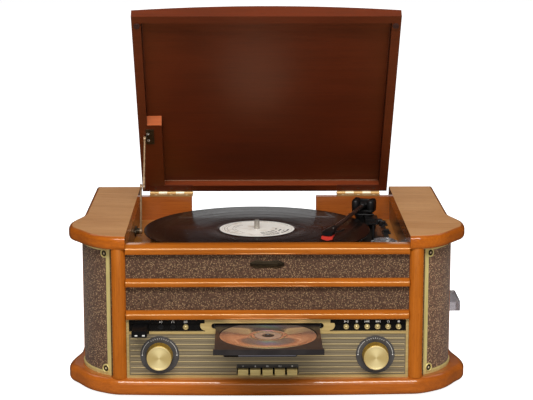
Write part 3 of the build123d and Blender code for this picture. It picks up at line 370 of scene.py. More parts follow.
def noise(tree, vector, scale=1.0, detail=3.0, roughness=0.5, distortion=0.0):
    """A noise value from 0 to 1."""
    inputs = {"Vector": vector, "Scale": scale, "Detail": detail, "Roughness": roughness,
              "Distortion": distortion}
    return put(tree, "ShaderNodeTexNoise", inputs).outputs[0]


def rings_noise(tree, reach, scale, detail=2, roughness=0.5):
    """Noise that changes with one number only."""
    along = put(tree, "ShaderNodeCombineXYZ", {0: reach}).outputs[0]
    return noise(tree, along, scale, detail, roughness)


def bump(tree, height, distance, strength=0.4):
    """A bumped normal from a height and the distance in metres that it stands for."""
    inputs = {"Height": height, "Distance": distance, "Strength": strength}
    return put(tree, "ShaderNodeBump", inputs).outputs[0]


def place(tree):
    """The point on the object, in metres."""
    return put(tree, "ShaderNodeTexCoord").outputs["Object"]


def facing_up(tree):
    """How far a face looks up, from -1 to 1."""
    return axes(tree, put(tree, "ShaderNodeNewGeometry").outputs["Normal"])["Z"]


def axes(tree, vector):
    """The three numbers of a vector."""
    return put(tree, "ShaderNodeSeparateXYZ", {0: vector}).outputs


def group_tree(name, inputs, outputs):
    """An empty node group: each input is (name, kind, default), each output (name, kind)."""
    tree = bpy.data.node_groups.new(name, "ShaderNodeTree")
    for label, kind, default in inputs:
        socket = tree.interface.new_socket(label, in_out="INPUT", socket_type="NodeSocket" + kind)
        if default is not None:
            socket.default_value = default
    for label, kind in outputs:
        tree.interface.new_socket(label, in_out="OUTPUT", socket_type="NodeSocket" + kind)
    return tree, tree.nodes.new("NodeGroupInput").outputs, tree.nodes.new("NodeGroupOutput").inputs


def hand_out(tree, result, **values):
    """Links a group's values to its outputs."""
    for label, value in values.items():
        tree.links.new(value, result[label])
    return tree


def use(tree, group, **inputs):
    """A shared group in a material's tree."""
    return put(tree, "ShaderNodeGroup", inputs, node_tree=group).outputs


# Effects that several materials share

def wood_group():
    """Stained wood with its grain along x: broad figure, fine fibres and short dark pores."""
    tree, given, result = group_tree(
        "wood_grain",
        (("Along", "Vector", None), ("Pale", "Color", (0.5, 0.2, 0.05, 1)),
         ("Dark", "Color", (0.3, 0.1, 0.02, 1)), ("Contrast", "Float", 0.6)),
        (("Color", "Color"), ("Height", "Float"), ("Pores", "Float")))
    along = given["Along"]
    figure = noise(tree, stretched(tree, along, (3.5, 26, 26)), 1.0, 4, 0.55, 0.9)
    fibres = noise(tree, stretched(tree, along, (14, 420, 420)), 1.0, 5, 0.62, 0.2)
    cloud = noise(tree, stretched(tree, along, (7, 11, 11)), 1.0, 2, 0.5)
    pores = noise(tree, stretched(tree, along, (95, 1500, 1500)), 1.0, 2, 0.5)
    pores = eased(tree, pores, 0.60, 0.70)
    share = times_plus(tree, fibres, 0.65, times(tree, figure, 0.35))
    share = times_plus(tree, cloud, 0.4, share)
    share = times(tree, eased(tree, share, 0.45, 0.95), given["Contrast"])
    stained = colours(tree, share, given["Pale"], given["Dark"])
    pored = colours(tree, times(tree, pores, 0.35), stained, given["Dark"], "MULTIPLY")
    height = times_plus(tree, pores, -0.8, fibres)
    return hand_out(tree, result, Color=pored, Height=height, Pores=pores)


def handling_group():
    """Finger smudges and light dust: a roughness round a middle value, and a mask of settled dust on top."""
    tree, given, result = group_tree(
        "handling",
        (("Roughness", "Float", 0.3), ("Amount", "Float", 0.12), ("Dust", "Float", 0.1)),
        (("Roughness", "Float"), ("Dust", "Float"), ("Smudges", "Float")))
    point = place(tree)
    smudges = noise(tree, point, 34, 4, 0.6, 0.7)
    streaks = noise(tree, stretched(tree, point, (60, 210, 60), (0.3, 0.2, 0.5)), 1.0, 3, 0.5)
    wander = times_plus(tree, streaks, 0.35, times(tree, smudges, 0.65))
    wander = sums(tree, "SUBTRACT", wander, 0.5)
    rough = times_plus(tree, wander, given["Amount"], given["Roughness"])
    specks = eased(tree, noise(tree, point, 900, 2, 0.5), 0.58, 0.7)
    lying = times(tree, eased(tree, facing_up(tree), 0.5, 1.0), specks)
    return hand_out(tree, result, Roughness=rough, Smudges=eased(tree, smudges, 0.45, 0.7),
                    Dust=times(tree, lying, given["Dust"]))


def brushed_group():
    """Fine parallel brush lines that run along x of the given coordinates."""
    tree, given, result = group_tree(
        "brushed_lines",
        (("Along", "Vector", None), ("Scale", "Float", 1.0)),
        (("Height", "Float"), ("Tone", "Float")))
    along = scaled(tree, given["Along"], given["Scale"])
    lines = noise(tree, stretched(tree, along, (45, 5200, 5200)), 1.0, 2, 0.5)
    broad = noise(tree, stretched(tree, along, (22, 600, 600)), 1.0, 3, 0.6)
    tone = times_plus(tree, broad, 0.6, times(tree, lines, 0.4))
    return hand_out(tree, result, Height=lines, Tone=tone)


def waves(tree, value, pitch):
    """A sine of a length, one wave to each pitch in metres."""
    return sums(tree, "SINE", times(tree, value, TURN / pitch))


def cloth_group():
    """Woven speaker cloth: a brown weave with short pale and dark slanting threads some 3 mm apart."""
    tree, given, result = group_tree(
        "speaker_weave",
        (("Flat", "Vector", None),),
        (("Color", "Color"), ("Height", "Float")))
    shaded = rgb(68, 48, 35)
    flat = given["Flat"]
    parts = axes(tree, flat)
    weave = times(tree, waves(tree, parts["X"], 0.0011), waves(tree, parts["Z"], 0.0011))
    weave = times_plus(tree, weave, 0.5, 0.5)
    mottled = eased(tree, noise(tree, flat, 260, 3, 0.6), 0.35, 0.65)
    colour = colours(tree, mottled, shaded, rgb(90, 64, 48))
    colour = colours(tree, times(tree, weave, 0.25), colour, shaded)
    threads = []
    for tilt, spacing, threshold, start, end in (
            (0.6, 760, 0.38, 0.3, 0.38), (-0.9, 700, 0.34, 0.6, 0.68), (2.2, 800, 0.36, 0.35, 0.45)):
        leaning = stretched(tree, flat, (1.0, 0.5, 0.5), (0, tilt, 0))
        spread = {"Vector": leaning, "Scale": spacing, "Randomness": 0.9}
        cells = put(tree, "ShaderNodeTexVoronoi", spread).outputs
        near = eased(tree, cells["Distance"], threshold, threshold - 0.14)
        chosen = eased(tree, axes(tree, cells["Color"])["X"], start, end)
        threads.append(times(tree, near, chosen))
    pale = sums(tree, "MAXIMUM", threads[0], threads[1])
    colour = colours(tree, times(tree, threads[2], 0.85), colour, rgb(48, 32, 24))
    colour = colours(tree, times(tree, pale, 0.7), colour, rgb(174, 142, 104))
    height = times_plus(tree, pale, 0.8, times(tree, weave, 0.6))
    return hand_out(tree, result, Color=colour, Height=height)


def moulding_group():
    """The fine stipple of moulded plastic or rubber: a height, and a faint shift of tone."""
    tree, given, result = group_tree(
        "moulded_stipple", (("Scale", "Float", 1.0),), (("Height", "Float"), ("Tone", "Float")))
    point = scaled(tree, place(tree), given["Scale"])
    stipple = noise(tree, point, 1700, 2, 0.6)
    return hand_out(tree, result, Height=stipple, Tone=noise(tree, point, 45, 4, 0.6))


wood_grain = wood_group()
handling = handling_group()
brushed_lines = brushed_group()
speaker_weave = cloth_group()
moulded_stipple = moulding_group()


# Materials: each one holds its own shader

def material_tree(name):
    """An empty material and its tree."""
    material = bpy.data.materials.new(name)
    material.use_nodes = True
    material.node_tree.nodes.clear()
    return material, material.node_tree


def shade(tree, inputs, **more):
    """Joins a Principled shader to the material's output; more gives the inputs whose names are one word."""
    shader = put(tree, "ShaderNodeBsdfPrincipled", {**inputs, **more})
    put(tree, "ShaderNodeOutputMaterial", {"Surface": shader.outputs[0]})


GRAIN_ALONG_X = (0, 0, 0)
GRAIN_ALONG_Y = (0, 0, QUARTER)
GRAIN_ALONG_Z = (0, QUARTER, 0)
SPUN = {"Anisotropic Rotation": 0.25}
HONEY = (182, 99, 24), (144, 72, 12)


def touched(tree, roughness, amount, dust):
    """Smudges and dust: a roughness and a mask."""
    return use(tree, handling, Roughness=roughness, Amount=amount, Dust=dust)


def grained(tree, along, pale, dark, contrast=0.8):
    """Wood in two stains."""
    return use(tree, wood_grain, Along=along, Pale=rgb(*pale), Dark=rgb(*dark), Contrast=contrast)


def round_axis(tree, x, y):
    """The level offset from an upright axis that is given in mm, and its length."""
    away = vectors(tree, "SUBTRACT", place(tree), (x * MM, y * MM, 0))
    level = vectors(tree, "MULTIPLY", away, (1, 1, 0))
    return level, measure(tree, "LENGTH", level)


def varnished(tree, colour, height, roughness, coat, coat_roughness, smudge=0.08, specular=0.5):
    """Wood under varnish: colour and grain below, a clear coat with smudges above."""
    touch = touched(tree, roughness, smudge, 0.06)
    shade(tree, {
        "Base Color": colours(tree, touch["Dust"], colour, rgb(170, 140, 110)),
        "Roughness": touch["Roughness"], "IOR": 1.6, "Specular IOR Level": specular,
        "Specular Tint": rgb(255, 220, 160), "Normal": bump(tree, height, 0.00006),
        "Coat Weight": coat, "Coat Roughness": coat_roughness, "Coat IOR": 1.5})


def wood(name, pale, dark, contrast, roughness, coat, coat_roughness):
    """Stained wood whose grain runs along x."""
    material, tree = material_tree(name)
    look = grained(tree, stretched(tree, place(tree)), pale, dark, contrast)
    varnished(tree, look["Color"], look["Height"], roughness, coat, coat_roughness)
    return material


def frame_wood():
    """Honey varnish: the rails' grain runs across, the posts' grain runs up."""
    material, tree = material_tree("frame_honey_wood")
    point = place(tree)
    across = grained(tree, point, *HONEY)
    upright = grained(tree, stretched(tree, point, turn=GRAIN_ALONG_Z), *HONEY)
    side = sums(tree, "ABSOLUTE", axes(tree, point)["X"])
    on_post = sums(tree, "GREATER_THAN", side, post_inner * MM)
    colour = colours(tree, on_post, across["Color"], upright["Color"])
    height = mixed_values(tree, on_post, across["Height"], upright["Height"])
    varnished(tree, colour, height, 0.2, 0.3, 0.1, 0.05, 1.0)
    return material


def cap_wood():
    """Tan satin on the flat top with cross grain, its paler tone partly a painted reflection, and honey
    varnish on the rounded edge and the inner side.
    """
    material, tree = material_tree("cap_wood_two_tone")
    point = place(tree)
    flat = grained(tree, stretched(tree, point, turn=(0, 0, 0.12)), (197, 147, 98), (164, 112, 66), 1.0)
    edge = grained(tree, stretched(tree, point, turn=(0, 0, 0.5)), (180, 94, 18), (138, 64, 8))
    facing = facing_up(tree)
    # Painted reflection: the flat top's paler tan is partly a painted reflection as well as its own veneer.
    on_top = eased(tree, facing, 0.93, 0.985)
    coat = eased(tree, facing, 0.93, 0.985, 0.9, 0.0)
    rough = eased(tree, facing, 0.93, 0.985, 0.4, 0.62)
    colour = colours(tree, on_top, edge["Color"], flat["Color"])
    height = mixed_values(tree, on_top, edge["Height"], flat["Height"])
    varnished(tree, colour, height, rough, coat, 0.13, 0.08, 0.15)
    return material


def lid_wood():
    """Dark red-brown satin varnish with painted light: faces that look up, the ledge by the hinge rail and
    the stay block's end take a paler tone, the block's end as end grain with a painted highlight.
    """
    material, tree = material_tree("lid_red_brown_wood")
    point = place(tree)
    inner = grained(tree, point, (84, 31, 14), (62, 21, 9))
    rim = grained(tree, point, (122, 45, 15), (92, 32, 10))
    normal = put(tree, "ShaderNodeTexCoord").outputs["Normal"]
    facing = axes(tree, normal)
    # Painted light: faces that look up, and less so those that look forward, take the paler rim tone.
    painted_front_light = eased(tree, facing["Y"], -0.9, -0.5, 0.35, 0.0)
    painted_light_share = sums(tree, "MAXIMUM", eased(tree, facing["Z"], 0.2, 0.6, 0.0, 0.6), painted_front_light)
    colour = colours(tree, painted_light_share, inner["Color"], rim["Color"])
    from_hinge = vectors(tree, "SUBTRACT", point, tuple(hinge_axis * MM))
    reach = measure(tree, "DOT_PRODUCT", from_hinge, tuple(lid_up))
    upward = measure(tree, "DOT_PRODUCT", normal, tuple(lid_up))
    # Painted light: the ledge that looks up near the hinge takes the paler tone.
    lit_ledge = times(tree, sums(tree, "GREATER_THAN", upward, 0.5), sums(tree, "LESS_THAN", reach, 0.2))
    block_end = times(tree, lit_ledge, sums(tree, "GREATER_THAN", reach, 0.1))
    # The stay block's end: paler end grain with a painted highlight.
    bare = noise(tree, stretched(tree, point, (60, 400, 400)), 1.0, 3, 0.6)
    bare = colours(tree, bare, rgb(150, 58, 18), rgb(188, 86, 34))
    colour = colours(tree, lit_ledge, colour, rim["Color"])
    colour = colours(tree, block_end, colour, bare)
    varnished(tree, colour, inner["Height"], 0.42, 0.2, 0.28)
    return material


def side_wood():
    """The side boards: honey on their outer faces, and a darker tone on the faces beside the turntable that
    is painted shade.
    """
    material, tree = material_tree("side_board_wood")
    point = place(tree)
    inner = grained(tree, point, (80, 46, 25), (56, 30, 16))
    outer = grained(tree, point, *HONEY)
    # Painted shade: the faces inside the well take the darker tone.
    across = sums(tree, "ABSOLUTE", axes(tree, point)["X"])
    outside = sums(tree, "GREATER_THAN", across, (side_x - 1.0) * MM)
    varnished(tree, colours(tree, outside, inner["Color"], outer["Color"]), inner["Height"], 0.3, 0.4, 0.14)
    return material


def deck_finish():
    """Golden deck board with a satin black panel painted to the right of the record, round the tonearm."""
    material, tree = material_tree("deck_golden_wood")
    point = place(tree)
    look = grained(tree, point, (196, 128, 54), (156, 90, 32))
    away, reach = round_axis(tree, spindle_x, spindle_y)
    panel = sums(tree, "GREATER_THAN", reach, (record_r - 12.0) * MM)
    panel = times(tree, panel, sums(tree, "GREATER_THAN", axes(tree, away)["X"], 40.0 * MM))
    panel = times(tree, panel, sums(tree, "LESS_THAN", axes(tree, point)["X"], 168.0 * MM))
    painted = colours(tree, noise(tree, point, 900, 2, 0.6), rgb(20, 18, 17), rgb(28, 25, 24))
    varnished(tree, colours(tree, panel, look["Color"], painted), look["Height"], 0.4, 0.5, 0.12)
    return material


def speaker_cloth():
    """Brown woven cloth, with painted light that makes the side grilles paler, the right one more than the
    left.
    """
    material, tree = material_tree("speaker_cloth_front")
    look = use(tree, speaker_weave, Flat=stretched(tree, place(tree)))
    across = axes(tree, place(tree))["X"]
    # Painted light: the side grilles are lightened, the right one more than the left.
    on_side = sums(tree, "GREATER_THAN", sums(tree, "ABSOLUTE", across), post_inner * MM)
    painted_light_to_right = eased(tree, across, -0.1, 0.1, 0.3, 0.75)
    lift = times_plus(tree, on_side, painted_light_to_right, 1.0)
    shade(tree, {"Base Color": scaled(tree, look["Color"], lift), "Sheen Weight": 0.08,
                 "Sheen Roughness": 0.5, "Specular IOR Level": 0.2},
          Roughness=0.85, Normal=bump(tree, look["Height"], 0.00025, 0.8))
    return material


def satin_metal(name, colour, shaded, roughness=0.3, along=GRAIN_ALONG_X, metallic=1.0):
    """Brushed or satin metal whose lines run one way, with smudges and a shift of tone."""
    material, tree = material_tree(name)
    lines = use(tree, brushed_lines, Along=stretched(tree, place(tree), turn=along), Scale=1.0)
    touch = touched(tree, roughness, 0.16, 0.05)
    tone = colours(tree, touch["Dust"], toned(tree, lines["Tone"], shaded, colour), rgb(205, 198, 180))
    shade(tree, {"Base Color": tone}, Metallic=metallic, Roughness=touch["Roughness"],
          Normal=bump(tree, lines["Height"], 0.000008, 0.5))
    return material


def spun_metal(name, colour, shaded, roughness, centre):
    """Metal turned on a lathe about y: fine rings round a centre, given as |x| and z in mm, and a painted
    sheen in faint fans above and below it.
    """
    material, tree = material_tree(name)
    parts = axes(tree, place(tree))
    across = sums(tree, "SUBTRACT", sums(tree, "ABSOLUTE", parts["X"]), centre[0] * MM)
    upward = sums(tree, "SUBTRACT", parts["Z"], centre[1] * MM)
    rings = rings_noise(tree, hypotenuse(tree, across, upward), 2600)
    # Painted sheen: the tone is lighter in fans above and below the centre.
    angle = sums(tree, "ARCTAN2", across, upward)
    painted_sheen_fans = sums(tree, "COSINE", times(tree, angle, 2.0))
    blend = times_plus(tree, painted_sheen_fans, 0.22, times_plus(tree, rings, 0.5, 0.25))
    touch = touched(tree, roughness, 0.06, 0.03)
    tangent = put(tree, "ShaderNodeTangent", direction_type="RADIAL", axis="Y").outputs[0]
    shade(tree, {"Base Color": toned(tree, blend, shaded, colour, 0.3), **SPUN}, Metallic=0.4,
          Roughness=touch["Roughness"], Anisotropic=0.7, Tangent=tangent, Normal=bump(tree, rings, 0.000003))
    return material


def plastic(name, colour, shaded, roughness=0.4, depth=0.00003, specular=0.5, coat=0.0, metallic=0.0):
    """Moulded plastic, rubber or paint with a fine stipple, smudges and a little dust."""
    material, tree = material_tree(name)
    skin = use(tree, moulded_stipple, Scale=1.0)
    touch = touched(tree, roughness, 0.12, 0.08)
    tone = toned(tree, skin["Tone"], shaded, colour, 0.15)
    tone = colours(tree, touch["Dust"], tone, rgb(150, 142, 132))
    shade(tree, {"Base Color": tone, "Specular IOR Level": specular, "Coat Weight": coat,
                 "Coat Roughness": 0.06}, Roughness=touch["Roughness"], Metallic=metallic,
          Normal=bump(tree, skin["Height"], depth, 0.5))
    return material


def clear_plastic(name, colour, roughness, seen_through):
    """Tinted see-through plastic with faint smudges and moulding waves."""
    material, tree = material_tree(name)
    touch = touched(tree, roughness, 0.1, 0.1)
    skin = use(tree, moulded_stipple, Scale=0.2)
    tone = colours(tree, touch["Dust"], rgb(*colour), rgb(200, 198, 195))
    shade(tree, {"Base Color": tone, "Transmission Weight": seen_through}, IOR=1.49,
          Roughness=touch["Roughness"], Normal=bump(tree, skin["Height"], 0.00001))
    return material


def striped_plate():
    """The olive-brown fascia plate: printed hairlines between the raised gold lines, over fine brushing."""
    material, tree = material_tree("striped_fascia_plate")
    point = place(tree)
    above = sums(tree, "SUBTRACT", axes(tree, point)["Z"], lines_low * MM)
    phase = sums(tree, "FRACT", sums(tree, "DIVIDE", above, line_pitch * MM / fine_lines))
    hair = times(tree, eased(tree, phase, 0.36, 0.44), eased(tree, phase, 0.82, 0.74))
    lines = use(tree, brushed_lines, Along=point, Scale=1.0)
    touch = touched(tree, 0.34, 0.12, 0.03)
    ground = toned(tree, lines["Tone"], (91, 80, 59), (112, 99, 77))
    tone = colours(tree, times(tree, hair, 0.85), ground, rgb(170, 154, 122))
    relief = times_plus(tree, hair, -0.5, lines["Height"])
    shade(tree, {"Base Color": tone}, Metallic=0.2, Roughness=touch["Roughness"],
          Normal=bump(tree, relief, 0.00002, 0.5))
    return material


def record_vinyl():
    """Black vinyl: fine grooves as rings round the spindle, five bands of tracks and a smooth run-out."""
    material, tree = material_tree("record_vinyl")
    reach = round_axis(tree, spindle_x, spindle_y)[1]
    grooves = waves(tree, reach, 0.0007)
    loud = rings_noise(tree, reach, 420, 4, 0.65)
    track = sums(tree, "FRACT", sums(tree, "DIVIDE", reach, record_r * MM / 7.3))
    filled = times(tree, eased(tree, track, 0.0, 0.03), eased(tree, track, 1.0, 0.97))
    gap = sums(tree, "SUBTRACT", 1.0, filled)
    cut = times(tree, sums(tree, "LESS_THAN", gap, 0.5), sums(tree, "GREATER_THAN", reach, 0.0585))
    height = times(tree, times(tree, grooves, cut), loud)
    touch = touched(tree, 0.26, 0.1, 0.12)
    tone = colours(tree, gap, toned(tree, loud, (11, 8, 7), (20, 15, 13), 0.15), rgb(14, 12, 12))
    tone = colours(tree, touch["Dust"], tone, rgb(120, 112, 104))
    tangent = put(tree, "ShaderNodeTangent", direction_type="RADIAL", axis="Z").outputs[0]
    shade(tree, {"Base Color": tone, "Specular IOR Level": 0.3, "Coat Weight": 0.15,
                 "Coat Roughness": 0.04, **SPUN}, Roughness=touch["Roughness"], Anisotropic=0.9,
          Tangent=tangent, Normal=bump(tree, height, 0.00002, 0.35))
    return material


def disc_face():
    """The silver disc: mirror plastic with a painted rainbow sheen in a fan that turns with the angle round
    the hub, and fine rings.
    """
    material, tree = material_tree("disc_silver_face")
    away, reach = round_axis(tree, disc_x, disc_y)
    parts = axes(tree, away)
    angle = sums(tree, "ARCTAN2", parts["X"], parts["Y"])
    # Painted sheen: a rainbow in a fixed fan across the disc.
    painted_rainbow_fan = sums(tree, "POWER", sums(tree, "ABSOLUTE", sums(tree, "COSINE", angle)), 14.0)
    hue = sums(tree, "FRACT", times_plus(tree, reach, 34.0, times(tree, angle, 0.5)))
    rainbow = put(tree, "ShaderNodeCombineColor", {0: hue, 1: 0.35, 2: 0.95}, mode="HSV").outputs[0]
    silver = toned(tree, rings_noise(tree, reach, 700), (192, 166, 148), (216, 190, 172), 0.1)
    touch = touched(tree, 0.12, 0.06, 0.05)
    shade(tree, {"Base Color": colours(tree, times(tree, painted_rainbow_fan, 0.6), silver, rainbow),
                 "Coat Weight": 0.5, "Coat Roughness": 0.03}, Metallic=0.75, Roughness=touch["Roughness"])
    return material


def printed(name, colour):
    """Screen print: slightly uneven ink."""
    material, tree = material_tree(name)
    edge = noise(tree, place(tree), 2600, 2, 0.5)
    faded = [int(channel * 0.82) for channel in colour]
    shade(tree, {"Base Color": toned(tree, edge, faded, colour, 0.15)}, Roughness=0.5,
          Normal=bump(tree, edge, 0.00001))
    return material


def label_paper(name):
    """Cream label paper with fibres and a faint mottle."""
    material, tree = material_tree(name)
    point = place(tree)
    fibres = noise(tree, stretched(tree, point, (900, 300, 900)), 1.0, 4, 0.65)
    mottle = eased(tree, noise(tree, point, 70, 3, 0.5), 0.5, 0.8)
    tone = colours(tree, mottle, toned(tree, fibres, (246, 238, 226), (252, 248, 240)), rgb(220, 203, 180))
    shade(tree, {"Base Color": tone, "Coat Weight": 0.15, "Coat Roughness": 0.2}, Roughness=0.45,
          Normal=bump(tree, fibres, 0.00002))
    return material


def display_face():
    """The display behind the window: blue-grey cell with a faint grid of its dots."""
    material, tree = material_tree("display_cell")
    parts = axes(tree, place(tree))
    dots = sums(tree, "MAXIMUM", waves(tree, parts["X"], 0.0009), waves(tree, parts["Z"], 0.0009))
    grid = times(tree, eased(tree, dots, 0.9, 1.0), 0.25)
    shade(tree, {"Base Color": colours(tree, grid, rgb(138, 136, 146), rgb(96, 96, 108)),
                 "Specular IOR Level": 0.4}, Roughness=0.3)
    return material


def bumped_paint(name, colour, shaded, scale, roughness):
    """Coated board, paper or felt whose fibres show as a soft relief."""
    material, tree = material_tree(name)
    fibres = noise(tree, place(tree), scale, 4, 0.7)
    shade(tree, {"Base Color": toned(tree, fibres, shaded, colour), "Specular IOR Level": 0.3},
          Roughness=roughness, Normal=bump(tree, fibres, 0.0001, 0.6))
    return material


def hinge_finish(name, pale, dark, knuckle):
    """Pale brass on the knuckles and a browned flat leaf beside them."""
    material, tree = material_tree(name)
    parts = axes(tree, place(tree))
    back = sums(tree, "SUBTRACT", parts["Y"], hinge_axis[1] * MM)
    rise = sums(tree, "SUBTRACT", parts["Z"], hinge_axis[2] * MM)
    flat = eased(tree, hypotenuse(tree, back, rise), 0.0030, 0.0034)
    grain = noise(tree, place(tree), 900, 3, 0.6)
    browned = colours(tree, grain, rgb(*dark), rgb(*pale))
    bright = colours(tree, grain, rgb(*[int(part * 0.86) for part in knuckle]), rgb(*knuckle))
    touch = touched(tree, 0.4, 0.12, 0.04)
    shade(tree, {"Base Color": colours(tree, flat, bright, browned)}, Metallic=0.4,
          Roughness=touch["Roughness"], Normal=bump(tree, grain, 0.00001))
    return material


# Named sizes, from the frame where the frame shows them

front_y = extent("fascia_panel")[0][1]
plate_low, plate_high = extent("stripe_plate")
deck_top = extent("deck")[1][2]
post_inner = 177.5         # half the width between the front posts
side_x = 234.0             # the side boards' outer faces
line_pitch = 7.5           # raised gold lines on the striped plate
fine_lines = 4             # printed hairlines to one raised line
lines_low = 31.0           # height of the lowest raised line

record_low, record_high = extent("record")
spindle_x, spindle_y = middle("record")[:2]
record_r = (record_high - record_low)[0] / 2
record_top = record_high[2]
label_r = 50.0

disc_low, disc_high = extent("compact_disc")
disc_x, disc_y = middle("compact_disc")[:2]

window_low, window_high = extent("display_window")
knob_x, knob_z = middle("tuning_knob")[::2]
button_r = 3.5
button_names = [f"deck_button_{number}" for number in range(1, 7)]
function_x, control_z = middle("function_button")[::2]

hinge_axis = np.array((0, 213.2, 199.75))
lid_lean = math.radians(53.0)
lid_up = np.array((0, -math.cos(lid_lean), math.sin(lid_lean)))
lid_out = np.array((0, math.sin(lid_lean), math.cos(lid_lean)))


# The materials themselves

RAIL_WOOD = wood("rear_rail_wood", (166, 84, 24), (130, 58, 12), 0.7, 0.45, 0.5, 0.16)
STAY_TAN = satin_metal("stay_warm_tan", (168, 136, 100), (122, 94, 66), 0.36, GRAIN_ALONG_Z, 0.3)
OLD_BRASS = satin_metal("antique_brass", (80, 66, 42), (36, 30, 21), 0.38, GRAIN_ALONG_Z, 0.6)

FINISHES = {
    "frame_wood": frame_wood(),
    "cap_wood": cap_wood(),
    "plinth_wood": wood("plinth_orange_wood", (186, 97, 22), (146, 70, 12), 0.8, 0.4, 1.0, 0.1),
    "side_wood": side_wood(),
    "back_board": RAIL_WOOD,
    "deck_wood": deck_finish(),
    "lid_wood": lid_wood(),
    "speaker_cloth": speaker_cloth(),
    "grille_metal": satin_metal("grille_satin_gold", (238, 221, 152), (208, 188, 116), 0.4, GRAIN_ALONG_Z,
                                0.35),
    "gold_trim": satin_metal("trim_satin_gold", (212, 186, 124), (180, 150, 92), 0.36, metallic=0.35),
    "stripe_metal": striped_plate(),
    "fascia_black": plastic("strip_gloss_black", (22, 20, 19), (15, 14, 13), 0.16, 0.000004, 0.35, 0.4),
    "display_window": clear_plastic("display_window_tint", (70, 72, 84), 0.06, 0.6),
    "knob_brass": satin_metal("knob_side_gold", (196, 158, 58), (150, 114, 34), 0.3, GRAIN_ALONG_Y, 0.5),
    "button_metal": spun_metal("button_pale_gold", (222, 204, 150), (196, 174, 118), 0.24, (132.0, 91.0)),
    "key_metal": satin_metal("key_plated_gold", (250, 226, 152), (220, 190, 118), metallic=0.3),
    "steel": satin_metal("bright_steel", (196, 190, 180), (158, 150, 140), 0.26, GRAIN_ALONG_Z, 0.7),
    "hinge_brass": satin_metal("hinge_brass", (240, 228, 196), (214, 190, 142), metallic=0.3),
    "platter_metal": plastic("platter_dark_coat", (44, 43, 42), (30, 30, 29), 0.4, 0.00002, metallic=0.6),
    "mat_rubber": plastic("mat_rubber", (26, 25, 24), (18, 17, 17), 0.7, 0.00005, 0.3),
    "vinyl": record_vinyl(),
    "arm_black": plastic("arm_satin_black", (24, 22, 22), (14, 13, 13), 0.4, 0.000008, 0.25),
    "tray_charcoal": plastic("tray_charcoal_brown", (47, 42, 41), (37, 33, 33), 0.34, 0.00001, 0.4, 0.2),
    "disc_silver": disc_face(),
    "cassette_clear": clear_plastic("cassette_clear_grey", (196, 190, 194), 0.1, 0.7),
    "usb_black": plastic("stick_satin_black", (13, 13, 14), (8, 8, 9), 0.6, 0.000004, 0.12),
    "rubber_black": plastic("feet_rubber", (30, 29, 28), (20, 20, 19), 0.75, 0.00006, 0.3),
    "felt_dark": bumped_paint("bumper_felt", (70, 38, 28), (44, 22, 16), 1600, 0.95),
    "cone_paper": bumped_paint("speaker_cone_paper", (52, 50, 48), (34, 33, 32), 900, 0.8),
    "circuit_green": bumped_paint("circuit_board_green", (46, 102, 62), (30, 76, 46), 500, 0.45),
    "mechanism_grey": plastic("housing_grey", (92, 92, 94), (76, 76, 78), 0.5, 0.00004),
    "motor_steel": satin_metal("motor_zinc_can", (160, 160, 162), (128, 128, 132), 0.35, GRAIN_ALONG_Z),
    "cover_black": plastic("rear_cover_black", (38, 36, 36), (26, 25, 25), 0.5, 0.00006),
}
OWN_FINISH = {
    "stay_wall_bracket": OLD_BRASS,
    "stay_lid_bracket": OLD_BRASS,
    "rear_panel": RAIL_WOOD,
    "hinge_lid_leaves": hinge_finish("hinge_lid_leaf_browned", (112, 48, 26), (84, 34, 18), (244, 232, 202)),
    "hinge_cabinet_leaves": hinge_finish("hinge_cabinet_leaf_tan", (182, 136, 78), (146, 98, 50),
                                         (206, 166, 104)),
    "stay_lower_link": STAY_TAN,
    "stay_upper_link": STAY_TAN,
}
STEEL = FINISHES["steel"]
HINGE_BRASS = FINISHES["hinge_brass"]

for node_name, node_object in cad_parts.items():
    for material_slot in node_object.material_slots:
        slot_name = material_slot.material.name.split(".")[0]
        material_slot.material = OWN_FINISH.get(node_name, FINISHES[slot_name])

KNOB_FACE = spun_metal("knob_face_spun", (246, 224, 162), (208, 180, 114), 0.3, (136.0, 55.0))
LINE_GOLD = satin_metal("raised_line_gold", (206, 184, 134), (172, 148, 100), 0.34, metallic=0.35)
BROWNED = satin_metal("hinge_screw_browned", (98, 46, 28), (72, 32, 18), 0.4, metallic=0.2)
ANTIQUE = satin_metal("badge_antique_bronze", (84, 70, 52), (44, 42, 36), 0.45)
INK_WHITE = printed("print_white", (226, 222, 214))
INK_GREY = printed("print_grey", (168, 160, 150))
INK_DARK = printed("print_dark", (46, 44, 50))
INK_LABEL = printed("print_label_black", (34, 30, 28))
DIAL_CHARCOAL = plastic("dial_charcoal", (80, 76, 74), (66, 63, 61), 0.42, 0.00001)
BAR_CHARCOAL = plastic("key_bar_charcoal", (72, 68, 62), (58, 54, 50), 0.4, 0.00001)
COLLAR_BLACK = plastic("collar_black", (24, 23, 23), (17, 16, 16), 0.45, 0.00001, 0.3)
STYLUS_RED = plastic("stylus_red", (214, 62, 50), (190, 44, 36), 0.3, 0.00001, coat=0.3)
# The tube's dark tone is its own; the brown in it is a painted sheen.
TUBE_BROWN_SHEEN = plastic("arm_tube_black_brown_sheen", (58, 42, 36), (40, 30, 27), 0.28, 0.000006, coat=0.4)
TAPE_BROWN = plastic("tape_brown", (64, 42, 32), (48, 32, 26), 0.35, 0.000006)
REEL_PALE = plastic("reel_pale", (222, 220, 214), (206, 204, 198))
HUB_CLEAR = clear_plastic("disc_hub_clear", (186, 160, 140), 0.12, 0.3)
ADAPTOR_CLEAR = clear_plastic("adaptor_clear_grey", (206, 206, 210), 0.08, 0.75)
DISPLAY_CELL = display_face()
PAPER = label_paper("label_cream_paper")


# Front frame: two posts with rounded noses and three moulded rails between them

post_half_width, post_half_depth, post_nose = 9.0, 8.5, 7.5
rail_heights = ((102.0, 113.0), (144.0, 154.0), (185.5, 198.0))   # each rail's foot and top


